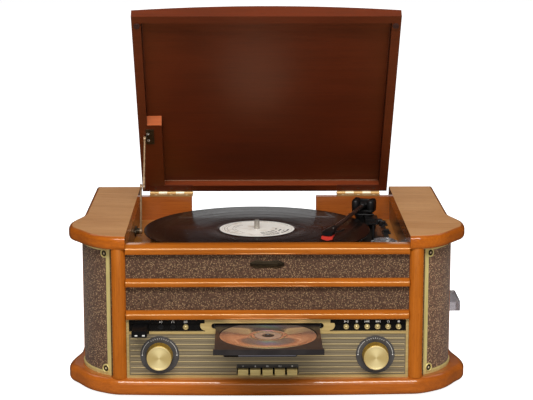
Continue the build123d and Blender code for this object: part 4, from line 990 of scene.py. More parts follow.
def post_outline():
    """A post in plan: a square back and a front rounded at both corners."""
    turn = np.radians(np.linspace(0, 90, 10))
    right = np.stack([post_half_width - post_nose + post_nose * np.sin(turn),
                      -post_half_depth + post_nose - post_nose * np.cos(turn)], -1)
    left = (right * (-1, 1))[::-1]
    back = [(post_half_width, post_half_depth), (-post_half_width, post_half_depth)]
    return np.concatenate([left, right, back])


def rail_outline(height):
    """A rail's section, x to the back and y up: a sloping top, a rounded ridge half way up, a plain foot."""
    slope_low = 0.66 * height
    ridge_low = 0.5 * height
    steepest = 43
    turn = np.radians(np.linspace(steepest, 0, 8))
    span = (slope_low - ridge_low) / math.sin(math.radians(steepest))
    ridge = np.stack([span * (1 - np.cos(turn)), ridge_low + span * np.sin(turn)], -1)
    foot = [(0.0, 0.22 * height), (0.25, 0.12 * height), (0.9, 0.04 * height), (1.8, 0.0)]
    back = [(16.0, 0.0), (16.0, height), (5.6, height), (5.1, height - 0.15)]
    return np.concatenate([ridge, foot, back])


def front_frame():
    """The posts stand on the plinth and the rails butt against them."""
    low, high = extent("front_frame")
    post_x = (post_inner + high[0]) / 2
    post = slab(post_outline(), low[2], high[2], 0.15)
    pieces = [shifted(post, side * post_x, low[1] + post_half_depth) for side in SIDES]
    half = post_inner - 0.05
    for foot, top in rail_heights:
        pieces.append(seat(slab(rail_outline(top - foot), -half, half), (0, low[1], foot), DEEP))
    return joined(pieces)


make("front_frame_moulded", front_frame(), "frame_wood", stands_for="front_frame", sharp=30)

key_bar_half = 38.75
key_bar_low, key_bar_top = 37.6, 42.2
line_half, line_rise = 0.55, 0.35


def raised_lines():
    """Gold bars along the striped plate, broken where the display and the keys sit."""
    display_gap = (window_low[0] - 1.2, window_high[0] + 1.2)
    key_gap = (-key_bar_half - 1.0, key_bar_half + 1.0)
    left, right = plate_low[0] + 1.5, plate_high[0] - 1.5
    bars = []
    for z in np.arange(lines_low, plate_high[2] - 3.0, line_pitch):
        ends = [(left, right)]
        if window_low[2] - 1.5 < z < window_high[2] + 1.5:
            ends = [(left, display_gap[0]), (display_gap[1], right)]
        if z < key_bar_top + 1.0:
            ends = [(left, key_gap[0]), (key_gap[1], right)]
        for start, end in ends:
            outline = rectangle(start, end, z - line_half, z + line_half, line_half * 0.8, 3)
            bars.append(seat(slab(outline, -0.2, line_rise, 0.15), (0, plate_low[1], 0)))
    return joined(bars)


make("raised_gold_lines", raised_lines(), "stripe_metal", material=LINE_GOLD)


# Knobs and the dial discs behind them

knob_back = -115.2
knob_depth = knob_back - extent("tuning_knob")[0][1]
knob_r = 16.8
knob_face_r = 15.5
dial_r = 24.5
dial_rise = 0.83           # of the marks above the striped plate


def knob_grip():
    """The knurled side of a knob: a cone with flutes between two plain rims."""
    lean = (knob_r - knob_face_r) / knob_depth
    rows = [(0, 0, 0), (knob_r - 0.5, 0, 0), (knob_r, 0.5, 0.2)]
    for depth in np.linspace(1.2, knob_depth - 3.6, 6):
        rows.append((knob_r - lean * depth, depth, 1))
    rows += [(knob_r - lean * (knob_depth - 3.0), knob_depth - 3.0, 0.1),
             (knob_face_r - 0.5, knob_depth - 2.4, 0), (knob_face_r - 0.5, knob_depth - 1.9, 0),
             (knob_face_r - 0.2, knob_depth - 1.5, 0), (knob_face_r - 0.3, knob_depth - 0.9, 0),
             (0, knob_depth - 0.9, 0)]
    return fluted(rows, 0.75, 56)


def knob_cap():
    """The spun face of a knob: a raised rim round a shallow dish with a small step."""
    rim = [(0.35, 1.5), (0, 1.0), (0, 0.5), (0.35, 0.1), (0.9, 0), (1.7, 0.1), (2.1, 0.5), (2.8, 0.65),
           (6, 0.55), (11, 0.45)]
    profile = [(knob_face_r - inward, knob_depth - down) for inward, down in rim]
    return lathe([(0, knob_depth - 1.5)] + profile + [(0.4, knob_depth - 0.42), (0, knob_depth - 0.45)], 128)


def dial_marks():
    """Two arcs from a dot at nine and at three o'clock, with short ticks between them over the top."""
    outer = dial_r - 2.4
    marks = []
    for start, end, dot in ((128, 176, 180), (4, 52, 0)):
        marks.append(slab(band_outline(outer - 0.45, outer, start, end), 0, 0.06))
        spot = math.radians(dot)
        reach = outer - 0.3
        marks.append(slab(disc_outline(0.85, 16, reach * math.cos(spot), reach * math.sin(spot)), 0, 0.06))
    tick = slab(rectangle(-0.28, 0.28, outer - 1.5, outer - 0.1), 0, 0.06)
    return joined(marks + [turned(tick, -(angle - 90)) for angle in np.arange(60, 121, 7.5)])


dial = lathe([(0, -0.9), (dial_r, -0.9), (dial_r, 0.7), (dial_r - 0.3, 1.0), (dial_r - 1.2, 1.0),
              (dial_r - 1.4, 0.85), (knob_r + 1.6, 0.85), (knob_r + 1.2, 0.4), (0, 0.4)], 96)
for side, body, node in ((-1, "volume", "volume_knob"), (1, "tuning", "tuning_knob")):
    centre = (side * knob_x, knob_back, knob_z)
    on_plate = (side * knob_x, plate_low[1], knob_z)
    before_dial = (side * knob_x, plate_low[1] - dial_rise, knob_z)
    make(f"{body}_knob_grip", seat(knob_grip(), centre), "knob_brass", body, stands_for=node, sharp=40)
    make(f"{body}_knob_face", seat(knob_cap(), centre), "knob_brass", body, KNOB_FACE)
    make(f"{body}_dial_disc", seat(dial, on_plate), "fascia_black", material=DIAL_CHARCOAL)
    make(f"{body}_dial_marks", seat(dial_marks(), before_dial), "fascia_black", material=INK_WHITE)


# Round buttons and the sockets beside them

button_shape = lathe([(0, -5), (button_r - 0.1, -5), (button_r, -4.6), (button_r, 1.4),
                      (button_r - 0.25, 2.2), (button_r - 0.8, 2.7), (button_r - 1.3, 2.65),
                      (button_r - 1.6, 2.35), (1.6, 2.35), (1.2, 2.6), (0.8, 2.9), (0, 3.0)], 48)
button_collar = ring(button_r + 0.22, button_r + 0.75, -0.2, 0.3, 48, 0.1)
socket_collar = ring(1.9, 3.4, -0.2, 0.55, 48, 0.2)
well_floor = lathe([(0, -0.6), (1.5, -0.6), (1.5, -0.4), (0, -0.4)], 32)
well = joined([ring(1.2, 2.1, -0.15, 0.15, 48, 0.05), well_floor])
headphone_x, line_in_x = -119.0, -134.2

buttons = [("function_button", "function", "function_cap")]
buttons += [(name, name[5:], name[5:] + "_gold_cap") for name in button_names]
collars = []
for node, body, name in buttons:
    x, _, z = middle(node)
    make(name, seat(button_shape, (x, front_y, z)), "button_metal", body, stands_for=node)
    collars.append(seat(button_collar, (x, front_y, z)))
sockets = [(x, front_y, control_z) for x in (headphone_x, line_in_x)]
collars += [seat(socket_collar, where) for where in sockets]
make("button_collars", joined(collars), "fascia_black", material=COLLAR_BLACK)
wells = [seat(well, where) for where in sockets]
make("socket_dark_wells", joined(wells), "fascia_black", material=COLLAR_BLACK)


# Plain marks: flat shapes that stand a hair's breadth proud

def flat_mark(outline):
    """A mark from its outline."""
    return slab(outline, 0, 0.07)


def triangle(x, y, size, way=1):
    """A triangle that points right, or left where way is -1."""
    back, tip = x - way * size * 0.5, x + way * size * 0.5
    return flat_mark([(back, y - size * 0.5), (tip, y), (back, y + size * 0.5)])


def bar(x, y, width, height):
    """An upright or lying bar."""
    return flat_mark(centred(width / 2, height / 2, x=x, y=y))


def arc(inner, outer, start, end):
    """A stretch of a ring."""
    return flat_mark(band_outline(inner, outer, start, end))


def mark(kind, h):
    """One plain sign of a player's controls, of the height h."""
    line = h * 0.16
    shapes = {
        "play": [triangle(-h * 0.35, 0, h), bar(h * 0.55, 0, line, h), bar(h * 0.85, 0, line, h)],
        "stop": [bar(0, 0, h * 0.85, h * 0.85)],
        "back": [triangle(h * 0.35, 0, h, -1), triangle(-h * 0.45, 0, h, -1), bar(-h * 1.05, 0, line, h)],
        "next": [triangle(-h * 0.35, 0, h), triangle(h * 0.45, 0, h), bar(h * 1.05, 0, line, h)],
        "repeat": [arc(h * 0.34, h * 0.52, -30, 250), triangle(h * 0.5, -h * 0.3, h * 0.5)],
        "record": [flat_mark(disc_outline(h * 0.48, 24))],
        "pause": [bar(-h * 0.25, 0, h * 0.2, h), bar(h * 0.25, 0, h * 0.2, h)],
        "wind": [triangle(-h * 0.4, 0, h), triangle(h * 0.4, 0, h)],
        "eject": [seat(triangle(0, 0, h), (0, h * 0.15, 0), DEEP, LEFT), bar(0, -h * 0.5, h, h * 0.18)],
        "menu": [bar(0, up * h * 0.36, h * 1.5, line) for up in (1, 0, -1)],
        "ears": [arc(h * 0.42, h * 0.56, 0, 180), bar(-h * 0.5, -h * 0.2, h * 0.3, h * 0.42),
                 bar(h * 0.5, -h * 0.2, h * 0.3, h * 0.42)],
        "input": [triangle(-h * 0.2, 0, h * 0.8), arc(h * 0.5, h * 0.64, -70, 70)],
    }
    return joined(shapes[kind])


def row_of_marks(kinds, places, y, z, size):
    """Signs side by side on a front face."""
    return joined([seat(mark(kind, size), (x, y, z)) for kind, x in zip(kinds, places)])


band_front = extent("fascia_trim")[0][1] - 0.06
band_x, band_half = 126.6, 47.6
band_low, band_top = 96.2, 100.9
sign_z, sign_size, key_sign_size = 98.3, 2.9, 1.9
bands = [slab(rectangle(side * band_x - band_half, side * band_x + band_half, band_low, band_top, 0.3), 0,
              front_y - band_front, 0.15) for side in SIDES]
make("strip_label_bands", seat(joined(bands), (0, front_y, 0)), "fascia_black")
strip_signs = ("play", "stop", "back", "next", "repeat", "record", "menu", "ears", "input")
strip_x = [middle(name)[0] for name in button_names] + [function_x, headphone_x, line_in_x]
strip_marks = row_of_marks(strip_signs, strip_x, band_front, sign_z, sign_size)
make("strip_marks", strip_marks, "fascia_black", material=INK_WHITE)

key_bar = slab(rectangle(-key_bar_half, key_bar_half, key_bar_low, key_bar_top, 0.5), -0.8, 0.35, 0.12)
make("key_label_bar", seat(key_bar, (0, plate_low[1], 0)), "fascia_black", material=BAR_CHARCOAL)
key_x = [middle(f"piano_key_{number}")[0] for number in range(1, 6)]
key_marks = row_of_marks(("pause", "eject", "wind", "play", "record"), key_x, plate_low[1] - 0.35,
                         (key_bar_low + key_bar_top) / 2, key_sign_size)
make("key_marks", key_marks, "fascia_black", material=INK_WHITE)


# Display: a dark window with its cell and plain figures

def figure_bars(x, y, size, lit):
    """One seven-bar figure; lit names its bars from a to g."""
    w, h, t = size * 0.5, size, size * 0.12
    places = {"a": (0, h / 2, w, t), "g": (0, 0, w, t), "d": (0, -h / 2, w, t),
              "f": (-w / 2, h / 4, t, h / 2), "b": (w / 2, h / 4, t, h / 2),
              "e": (-w / 2, -h / 4, t, h / 2), "c": (w / 2, -h / 4, t, h / 2)}
    return [shifted(bar(*places[part]), x, y) for part in lit]


window = slab(rectangle(window_low[0], window_high[0], window_low[2], window_high[2], 0.6), 0, 1.5, 0.2)
make("display_window_pane", seat(window, (0, window_high[1], 0)), "display_window",
     material=FINISHES["fascia_black"], stands_for="display_window")
cell = slab(rectangle(-37, 36, window_low[2] + 0.3, window_high[2] - 4, 0.6), 0, 0.25, 0.08)
make("display_cell", seat(cell, (0, window_low[1] + 0.15, 0)), "display_window", material=DISPLAY_CELL)
figure_z, figure_size = 66, 11
figures = []
for x, lit in ((-24, "bc"), (-12, "abged"), (4, "abcdef"), (16, "abcdef")):
    figures += figure_bars(x, figure_z, figure_size, lit)
figures += [bar(-4, figure_z + side * 3, 1.4, 1.4) for side in (1, -1)]
figures = seat(joined(figures), (0, window_low[1] - 0.1, 0))
make("display_figures", figures, "display_window", material=INK_DARK)


# Badge: a bare antique plate with a raised border

def badge_outline(half_width, half_height):
    """A scrolled plate: x = a cos t, y = b sin t, both squared off, with six shallow lobes."""
    t = np.arange(96) * TURN / 96
    lobes = 0.86 + 0.14 * np.cos(6 * t)
    x = half_width * np.sign(np.cos(t)) * np.abs(np.cos(t)) ** 0.7
    y = half_height * np.sign(np.sin(t)) * np.abs(np.sin(t)) ** 0.6 * lobes
    return np.stack([x, y], -1)


badge = joined([slab(badge_outline(21.5, 5.8), -0.3, 1.1, 0.4),
                slab(badge_outline(18.8, 4.3), 1.0, 1.5, 0.25),
                slab(centred(14, 1.9, 0.8), 1.4, 1.9, 0.25)])
badge_place = (-0.5, extent("cloth_panels")[0][1], 171.8)
make("badge_plate", seat(badge, badge_place), "grille_metal", material=ANTIQUE)


# Speaker grilles: screws in their ears and a bead round the cloth

chord_near = np.array((extent("front_frame")[1][0] + 2.5, front_y + 7.0))
chord_far = np.array((extent("side_walls")[1][0], front_y + 79.0))
chord_length = np.linalg.norm(chord_far - chord_near)
grille_bow = 10.8
grille_r = ((chord_length / 2) ** 2 + grille_bow ** 2) / (2 * grille_bow)
grille_low, grille_high = (corner[2] for corner in extent("grille_frames"))


def on_grille(along, side):
    """A point on the bulged grille, a distance along the chord from its middle, and its outward direction."""
    way = (chord_far - chord_near) / chord_length
    outward = np.array((way[1], -way[0]))
    lift = math.sqrt(grille_r ** 2 - along ** 2) - (grille_r - grille_bow)
    point = (chord_near + chord_far) / 2 + way * along + outward * lift
    lean = along / grille_r
    normal = outward * math.sqrt(1 - lean ** 2) + way * lean
    return (side * point[0], point[1]), (side * normal[0], normal[1])


def grille_seat(shape, along, z, side):
    """Stands a shape on the grille's face."""
    point, normal = on_grille(along, side)
    return seat(shape, (*point, z), (-normal[1], normal[0], 0))


def grille_bead(side):
    """A thin round bead along the top, the near side and the foot of one grille frame."""
    half = chord_length / 2 - 3.6
    low, high = grille_low + 3.6, grille_high - 3.6
    alongs = np.linspace(-half, half + 3.0, 24)
    lower = [(*on_grille(a, side)[0], low) for a in alongs]
    upper = [(*on_grille(a, side)[0], high) for a in alongs[::-1]]
    near = [(*on_grille(-half, side)[0], z) for z in np.linspace(high, low, 12)]
    return joined([tube(run, 0.45, 8) for run in (lower, upper, near)])


def on_ears(shape):
    """The shape four times: in both ears of both grilles."""
    ear_along, ear_inset = 7.6 - chord_length / 2, 8.4
    return joined([grille_seat(shape, ear_along, z, side) for side in SIDES
                   for z in (grille_low + ear_inset, grille_high - ear_inset)])


make("grille_screws", on_ears(screw_head(1.5, 0.9)), "grille_metal", material=HINGE_BRASS)
make("grille_ear_rims", on_ears(ring(4.2, 5.5, -0.4, 1.0, 48, 0.35)), "grille_metal")
# The dark ring in each ear's hollow is painted shade.
make("grille_ear_recess_shade", on_ears(ring(0.6, 3.7, -0.4, 0.35, 32, 0.1)), "grille_metal", material=OLD_BRASS)
make("grille_beads", joined([grille_bead(side) for side in SIDES]), "grille_metal")


# Stick in its socket, tray and disc

stick_low, stick_high = extent("usb_stick")
stick_x = (stick_low[0] + stick_high[0]) / 2
# Two small white patches on the stick's front are painted glints.
glint_patch = slab(centred(1.7, 0.8, 0.5), -0.2, 0.06, 0.03)
glint_patches = [seat(glint_patch, (stick_x + 0.7 + x, stick_low[1], stick_low[2] + 2.6)) for x in (-4.6, 4.6)]
make("stick_painted_glints", joined(glint_patches), "usb_black", "stick", INK_WHITE)
stick_pad = slab(centred(6.5, 9, 1.5), -0.1, 0.08, 0.05)
stick_pad_place = (stick_x, stick_low[1] + 16, stick_high[2] - 0.06)
make("stick_label_pad", seat(stick_pad, stick_pad_place, RIGHT, DEEP), "usb_black", "stick")


def disc_shape():
    """The disc: a rim bead, the silver face, the stacking ring and the clear middle round the hole."""
    low = disc_low[2] - disc_high[2]
    rim = (disc_high - disc_low)[0] / 2
    return lathe([(7.5, low), (rim - 0.2, low), (rim, low + 0.2), (rim, -0.2), (rim - 0.2, 0), (rim - 1.5, 0),
                  (rim - 1.7, -0.05), (25.0, -0.05), (24.8, 0), (23.2, 0), (23.0, -0.12), (17.6, -0.12),
                  (17.2, -0.02), (16.6, -0.02), (16.2, -0.12), (7.7, -0.1), (7.5, -0.25), (7.5, low)], 160)


disc_top = (disc_x, disc_y, disc_high[2])
clamp_low = disc_low[2] - 0.4 - disc_high[2]
clamp = lathe([(0, clamp_low), (7.2, clamp_low), (7.2, -0.1), (6.6, 0.3), (4.0, 0.4), (3.6, -0.2),
               (0, -0.2)], 48)
hub = ring(7.6, 17.0, -0.1, -0.02, 96)
make("compact_disc_face", shifted(disc_shape(), *disc_top), "disc_silver", "tray", stands_for="compact_disc")
make("compact_disc_hub", shifted(hub, *disc_top), "disc_silver", "tray", HUB_CLEAR)
make("tray_hub_rest", shifted(clamp, *disc_top), "tray_charcoal", "tray")


# Turntable: record, label, mat and platter

def record_shape():
    """The record's section turned: rim bead, five bands of grooves with gaps, run-out and label land."""
    low = record_low[2] - record_top
    groove, land = -0.22, -0.34
    rows = [(3.8, low), (record_r - 0.7, low), (record_r - 0.15, low + 0.35), (record_r, low + 0.9),
            (record_r - 0.15, -0.3), (record_r - 0.7, 0), (record_r - 2.2, 0), (record_r - 3.4, groove)]
    band = (record_r - 3.4 - 60.0) / 5
    for number in range(1, 5):
        edge = record_r - 3.4 - number * band
        rows += [(edge + 0.8, groove), (edge + 0.5, land), (edge - 0.5, land), (edge - 0.8, groove)]
    rows += [(60.0, groove), (59.0, land), (52.0, land), (51.2, 0), (3.8, 0), (3.8, low)]
    return lathe(rows, 256, record_top)


label = lathe([(3.9, -0.3), (label_r, -0.3), (label_r, 0.06), (label_r - 0.3, 0.12), (36.6, 0.12),
               (36.2, 0.04), (35.4, 0.04), (35.0, 0.12), (3.9, 0.12), (3.9, -0.3)], 128, record_top)
make("record_disc", shifted(record_shape(), spindle_x, spindle_y), "vinyl", "turntable",
     stands_for="record", sharp=20)
make("record_label", shifted(label, spindle_x, spindle_y), "vinyl", "turntable", PAPER)


def label_dashes(rows, start, end, weight):
    """Rows of strokes on rings round the hole, like plain small print: stroke k is 1.9 + sin(2.1 k) long."""
    strokes = []
    for row, radius in enumerate(rows):
        angle, count = start, 0
        while angle < end:
            length = (1.9 + math.sin(2.1 * count + row)) * 110 / radius
            if count % 6 != 5:
                strokes.append(slab(band_outline(radius, radius + weight, angle, angle + length, 4), 0, 0.05))
            angle += length + 60 / radius
            count += 1
    return strokes


print_dark = label_dashes((41.0, 31.0, 24.5), 280, 352, 2.4) + label_dashes((37.0,), 286, 340, 1.2)
print_pale = label_dashes((43.0, 39.5, 32.0, 28.5), 130, 236, 0.9) + label_dashes((44.5,), 20, 120, 0.8)
print_pale.append(slab(band_outline(46.6, 46.9, 0, 359.9, 96), 0, 0.04))
for tone, strokes, ink in (("dark", print_dark, INK_LABEL), ("pale", print_pale, INK_GREY)):
    on_label = seat(joined(strokes), (spindle_x, spindle_y, record_top + 0.11), RIGHT, DEEP)
    make(f"label_print_{tone}", on_label, "vinyl", "turntable", ink)


def mat_shape():
    """The platter mat: a flat rubber disc with raised rings and a lower middle under the label."""
    (left, _, low), (right, _, high) = extent("platter_mat")
    edge = (right - left) / 2
    rows = [(12.5, low), (edge - 0.4, low), (edge, low + 0.4), (edge, high - 0.5), (edge - 0.5, high)]
    for start in np.arange(edge - 6, 58, -6.0):
        groove = high - 0.6
        rows += [(start + 1.2, high), (start + 0.8, groove), (start - 0.8, groove), (start - 1.2, high)]
    return lathe(rows + [(54, high), (53, high - 0.8), (12.5, high - 0.8), (12.5, low)], 160)


def strobe_dots():
    """Two rows of small raised squares round the platter's edge, each at its own turn of the circle."""
    low, high = extent("platter")
    edge = (high - low)[0] / 2 - 0.05
    dots = []
    for row, count in enumerate((96, 102)):
        z = low[2] + 3.6 + row * 3.2
        for number in range(count):
            turn = number * TURN / count
            x, y = math.cos(turn), math.sin(turn)
            where = (spindle_x + x * edge, spindle_y + y * edge, z)
            dots.append(seat(slab(centred(1.3, 0.8), 0, 0.14), where, (-y, x, 0)))
    return joined(dots)


make("platter_mat_ribbed", shifted(mat_shape(), spindle_x, spindle_y), "mat_rubber", "turntable",
     stands_for="platter_mat")
make("platter_strobe_dots", strobe_dots(), "platter_metal", "turntable", STEEL)


# Tonearm: x runs from the pivot to the head and y across the arm

arm_pivot = (138.0, 150.2, 195.0)
pivot_x, pivot_y, pivot_z = arm_pivot
arm_bearing = math.radians(252.4)
arm_along = (math.cos(arm_bearing), math.sin(arm_bearing), 0)
arm_side = (-arm_along[1], arm_along[0], 0)
arm_length = 195.0
head_near, head_far = arm_length - 28.0, arm_length + 6.0


def on_arm(shape):
    """Puts a shape into the tonearm's own frame."""
    return seat(shape, arm_pivot, arm_along, arm_side)


def lengthwise(shape, x=0):
    """A lathe laid along the arm."""
    return seat(shape, (x, 0, 0), DEEP, UP)


def crosswise(shape, where=(0, 0, 0)):
    """A lathe laid across the arm."""
    return seat(shape, where, UP, RIGHT)


def shares(values):
    """How far each value of a rising row is from the first to the last."""
    return (values - values[0]) / (values[-1] - values[0])


def arm_tube():
    """The tube, swollen at the pivot and where it enters the head: r = 2.95 - 0.4 sin(pi s) along it."""
    along = np.linspace(4.0, head_near + 3.0, 40)
    path = np.stack([along, np.zeros(40), np.zeros(40)], -1)
    return tube(path, 2.95 - 0.4 * np.sin(math.pi * shares(along)), 24)


def head_shell():
    """The head: a wedge whose width and height grow along it, section a squared-off ellipse."""
    rows, steps = 18, 32
    along = np.linspace(head_near, head_far - 1.0, rows)
    share = shares(along)
    half_width = 3.4 + 4.0 * np.minimum(share * 1.8, 1.0) ** 0.8
    top = 3.1 + 0.4 * np.sin(math.pi * share)
    ease = np.where(share > 0.94, 0.86, 1.0)
    angle = np.arange(steps) * TURN / steps
    wide = np.sign(np.cos(angle)) * np.abs(np.cos(angle)) ** 0.5
    tall = np.sign(np.sin(angle)) * np.abs(np.sin(angle)) ** 0.5
    points = np.stack([np.broadcast_to(along[:, None], (rows, steps)), (half_width * ease)[:, None] * wide,
                       (top * ease)[:, None] * tall], -1)
    return points.reshape(-1, 3), capped(rows, steps)


def finger_lift():
    """The finger lift: a thin flat rod that leaves the head sideways and curls up at its end."""
    share = np.linspace(0, 1, 16)
    path = np.stack([head_far - 17 + 2 * share, 6.5 + 12.5 * share, 0.5 + 3.4 * share ** 3], -1)
    return tube(path, 0.75 + 0.5 * share ** 4)


def stylus_guard():
    """The red stylus piece: a wedge that drops towards the front, its lower edge in a shallow V."""
    rows, columns, half_width = 10, 16, 7.4
    along = np.linspace(head_far - 13.0, head_far, rows)
    across = np.linspace(-half_width, half_width, columns)
    along, across = np.meshgrid(along, across, indexing="ij")
    share = np.broadcast_to(shares(along[:, 0])[:, None], along.shape)
    lower = -5.0 - 4.0 * share + 1.9 * np.abs(across) / half_width
    upper = -3.0 - 1.2 * share ** 2
    points = [np.stack([along, across, height], -1).reshape(-1, 3) for height in (upper, lower)]
    number = np.arange(rows * columns).reshape(rows, columns)
    rim = [*number[0], *number[1:, -1], *number[-1, -2::-1], *number[-2:0:-1, 0]]
    rim = [int(corner) for corner in rim]
    faces, count = grid_faces(rows, columns), rows * columns
    below = [[corner + count for corner in face[::-1]] for face in faces]
    sides = [[a, b, b + count, a + count] for a, b in zip(rim, rim[1:] + rim[:1])]
    return np.vstack(points), faces + below + sides


make("tonearm_tube", on_arm(arm_tube()), "arm_black", "arm", TUBE_BROWN_SHEEN, "tonearm")
make("tonearm_head", on_arm(head_shell()), "arm_black", "arm")
barrel = crosswise(lathe([(0, -4.9), (3.9, -4.9), (4.5, -4.3), (4.5, 4.3), (3.9, 4.9), (0, 4.9)], 40))
collar = lathe([(3.0, 0), (4.2, 0.4), (4.2, 5.0), (3.7, 5.6), (3.7, 9.0), (3.0, 9.4), (3.0, 0)], 40)
neck = lathe([(2.6, 0), (3.9, 0.4), (3.9, 6.0), (3.2, 7.0), (2.6, 7.0), (2.6, 0)], 40)
barrel = joined([barrel, lengthwise(collar, 5), lengthwise(neck, head_near - 4)])
make("tonearm_barrel", on_arm(barrel), "arm_black", "arm")
make("tonearm_finger_lift", on_arm(finger_lift()), "arm_black", "arm")
cartridge = rounded_box(rectangle(head_far - 21, head_far - 7, -5.4, 5.4, 1.2), -7.4, -3.2, 0.5)
make("tonearm_cartridge", on_arm(cartridge), "arm_black", "arm")
make("stylus_red_guard", on_arm(stylus_guard()), "arm_black", "arm", STYLUS_RED)
tip = lathe([(0, -11.2), (0.25, -10.9), (0.6, -9.0), (0.8, -6.0), (0, -6.0)], 16)
make("stylus_tip", on_arm(shifted(tip, arm_length)), "arm_black", "arm", STEEL)
shell_screws = [shifted(screw_head(1.1, 0.5), head_near + 14, y, 3.45) for y in (-3.2, 3.2)]
make("tonearm_head_screws", on_arm(joined(shell_screws)), "arm_black", "arm", STEEL)

# The turning block: two rounded cheeks beside the arm, a bridge behind it and a floor under it
floor_low, block_top = 186.2 - pivot_z, 203.4 - pivot_z
stem_low = extent("tonearm_yoke")[0][2] - pivot_z
block = [rounded_box(rectangle(-11.8, 11.8, *span, 4.9), floor_low + 0.1, block_top, 4.2)
         for span in ((5.6, 15.9), (-15.9, -5.6))]
block += [rounded_box(rectangle(-11.6, -6.2, -9, 9, 1.6), floor_low + 0.1, block_top - 1.6, 1.2),
          rounded_box(centred(11.6, 15.4, 4.0), floor_low, floor_low + 3.1, 0.6),
          lathe([(0, stem_low), (2.0, stem_low), (2.0, floor_low + 0.4), (0, floor_low + 0.4)], 24),
          crosswise(lathe([(0, -6), (1.95, -6), (1.95, 6), (0, 6)], 24))]
cap = lathe([(0, 0), (3.6, 0), (3.6, 0.5), (3.1, 0.9), (1.2, 0.9), (0.9, 0.4), (0, 0.4)], 32)
caps = [shifted(cap, 0, y, block_top - 0.9) for y in (-10.7, 10.7)]
caps += [rounded_box(centred(8.5, 0.7, 0.5, y=y), block_top - 0.4, block_top, 0.15) for y in (-13.2, 13.2)]
make("turret_block", on_arm(joined(block)), "arm_black", "tonearm_turret", stands_for="tonearm_yoke")
make("turret_caps", on_arm(joined(caps)), "arm_black", "tonearm_turret", COLLAR_BLACK)


# What stands on the deck round the arm

base_rings = lathe([(12.0, 167.0), (16.4, 167.0), (15.4, 168.6), (13.2, 169.4), (12.6, 171.4), (12.9, 172.0),
                    (12.9, 173.4), (12.1, 174.0), (12.0, 167.0)], 72)
top_collar = lathe([(12.0, 178.4), (13.0, 178.8), (13.0, 181.6), (12.0, 182.0), (12.0, 178.4)], 72)
make("arm_base_rings", shifted(joined([base_rings, top_collar]), pivot_x, pivot_y), "arm_black")


flange_screw_r = 14.4
cue_bar_r, cue_bar_z = 44, 189.6
adaptor_x, adaptor_y = 157.5, 38.2


def round_pivot(reach, turn):
    """A point's x and y at a reach and a turn, in radians, round the arm's pivot."""
    return pivot_x + reach * np.cos(turn), pivot_y + reach * np.sin(turn)


flange_screws = [shifted(screw_head(1.5, 0.7), *round_pivot(flange_screw_r, turn), 166.95)
                 for turn in np.radians((20, 140, 255))]
make("arm_base_screws", joined(flange_screws), "steel")


def cue_bar():
    """The lifting bar: an arc round the arm's pivot, carried by a bent stalk from the column."""
    angle = np.radians(np.linspace(238, 284, 28))
    curve = np.stack([*round_pivot(cue_bar_r, angle), np.full(28, cue_bar_z)], -1)
    share = np.linspace(0, 1, 14)
    height = 180.0 + 9.6 * np.sin(share * QUARTER)
    stalk = np.stack([*round_pivot(11.0 + 33.0 * share, math.radians(266)), height], -1)
    return joined([tube(curve, 1.1), tube(stalk, 1.4)])


make("cue_lift_bar", cue_bar(), "arm_black")
cue_x, cue_z = middle("cue_lever")[::2]
cue_knob = lathe([(0, -3.2), (2.0, -3.2), (2.45, -2.7), (2.45, 2.4), (2.0, 2.8), (0, 2.8)], 32)
cue_knob = crosswise(cue_knob, (cue_x, extent("cue_lever")[0][1] + 3.4, cue_z))
make("cue_lever_knob", cue_knob, "arm_black", "cue", COLLAR_BLACK)

# The ring adaptor for wide holes: two stepped discs with an open middle and six ribs
adaptor = lathe([(3.7, 164.0), (19.0, 164.0), (19.0, 165.4), (18.4, 166.0), (14.6, 166.2), (14.2, 169.2),
                 (13.6, 169.8), (6.0, 169.8), (5.2, 169.2), (5.0, 167.2), (3.7, 166.8), (3.7, 164.0)], 96)
rib = rounded_box(rectangle(6.6, 17.6, -0.7, 0.7, 0.3), 165.6, 168.8, 0.3)
adaptor = joined([adaptor] + [turned(rib, 60 * number) for number in range(6)])
make("adaptor_ring", shifted(adaptor, adaptor_x, adaptor_y), "cassette_clear", material=ADAPTOR_CLEAR)

# A slotted frame round each sliding switch, with a ridge at either end, and ridges on the switch
for node, body in (("speed_switch", "speed_slider"), ("stop_switch", "stop_slider")):
    low, high = extent(node)
    x, y = middle(node)[:2]
    surround = [slab(rectangle(x - 6.2, x + 6.2, y - 7.5, y + 12.5, 1.6), deck_top, deck_top + 0.26, 0.1)]
    for far in (-6.0, 11.2):
        surround.append(slab(centred(4.6, 0.5, 0.4, x, y + far), deck_top + 0.2, deck_top + 1.6, 0.3))
    make(f"{node}_surround", joined(surround), "arm_black", material=COLLAR_BLACK)
    ridge = slab(centred(2.6, 0.3), -0.2, 0.0)
    ridges = [seat(ridge, (x, along, high[2]), RIGHT, DEEP)
              for along in np.linspace(low[1] + 1.6, high[1] - 1.6, 4)]
    make(f"{node}_ridges", joined(ridges), "arm_black", body, STEEL)


# Lid: hinges, stay and trim

lid_under = 0.75           # from the hinge's middle out to the lid's underside
hinge_x = 133.5            # half the way between the hinges
pin_x = 30.3               # half a hinge pin
screw_step = 22            # between a leaf's screws
leaf_top = 199.05
stay_foot_z = 171.6


def under_lid(shape, x, reach, height=lid_under):
    """Stands a shape on the lid's underside, at a reach from the hinge, its height pointing out of it."""
    origin = hinge_axis + lid_up * reach + lid_out * height + np.array((x, 0, 0))
    return seat(shape, origin, RIGHT, lid_up)


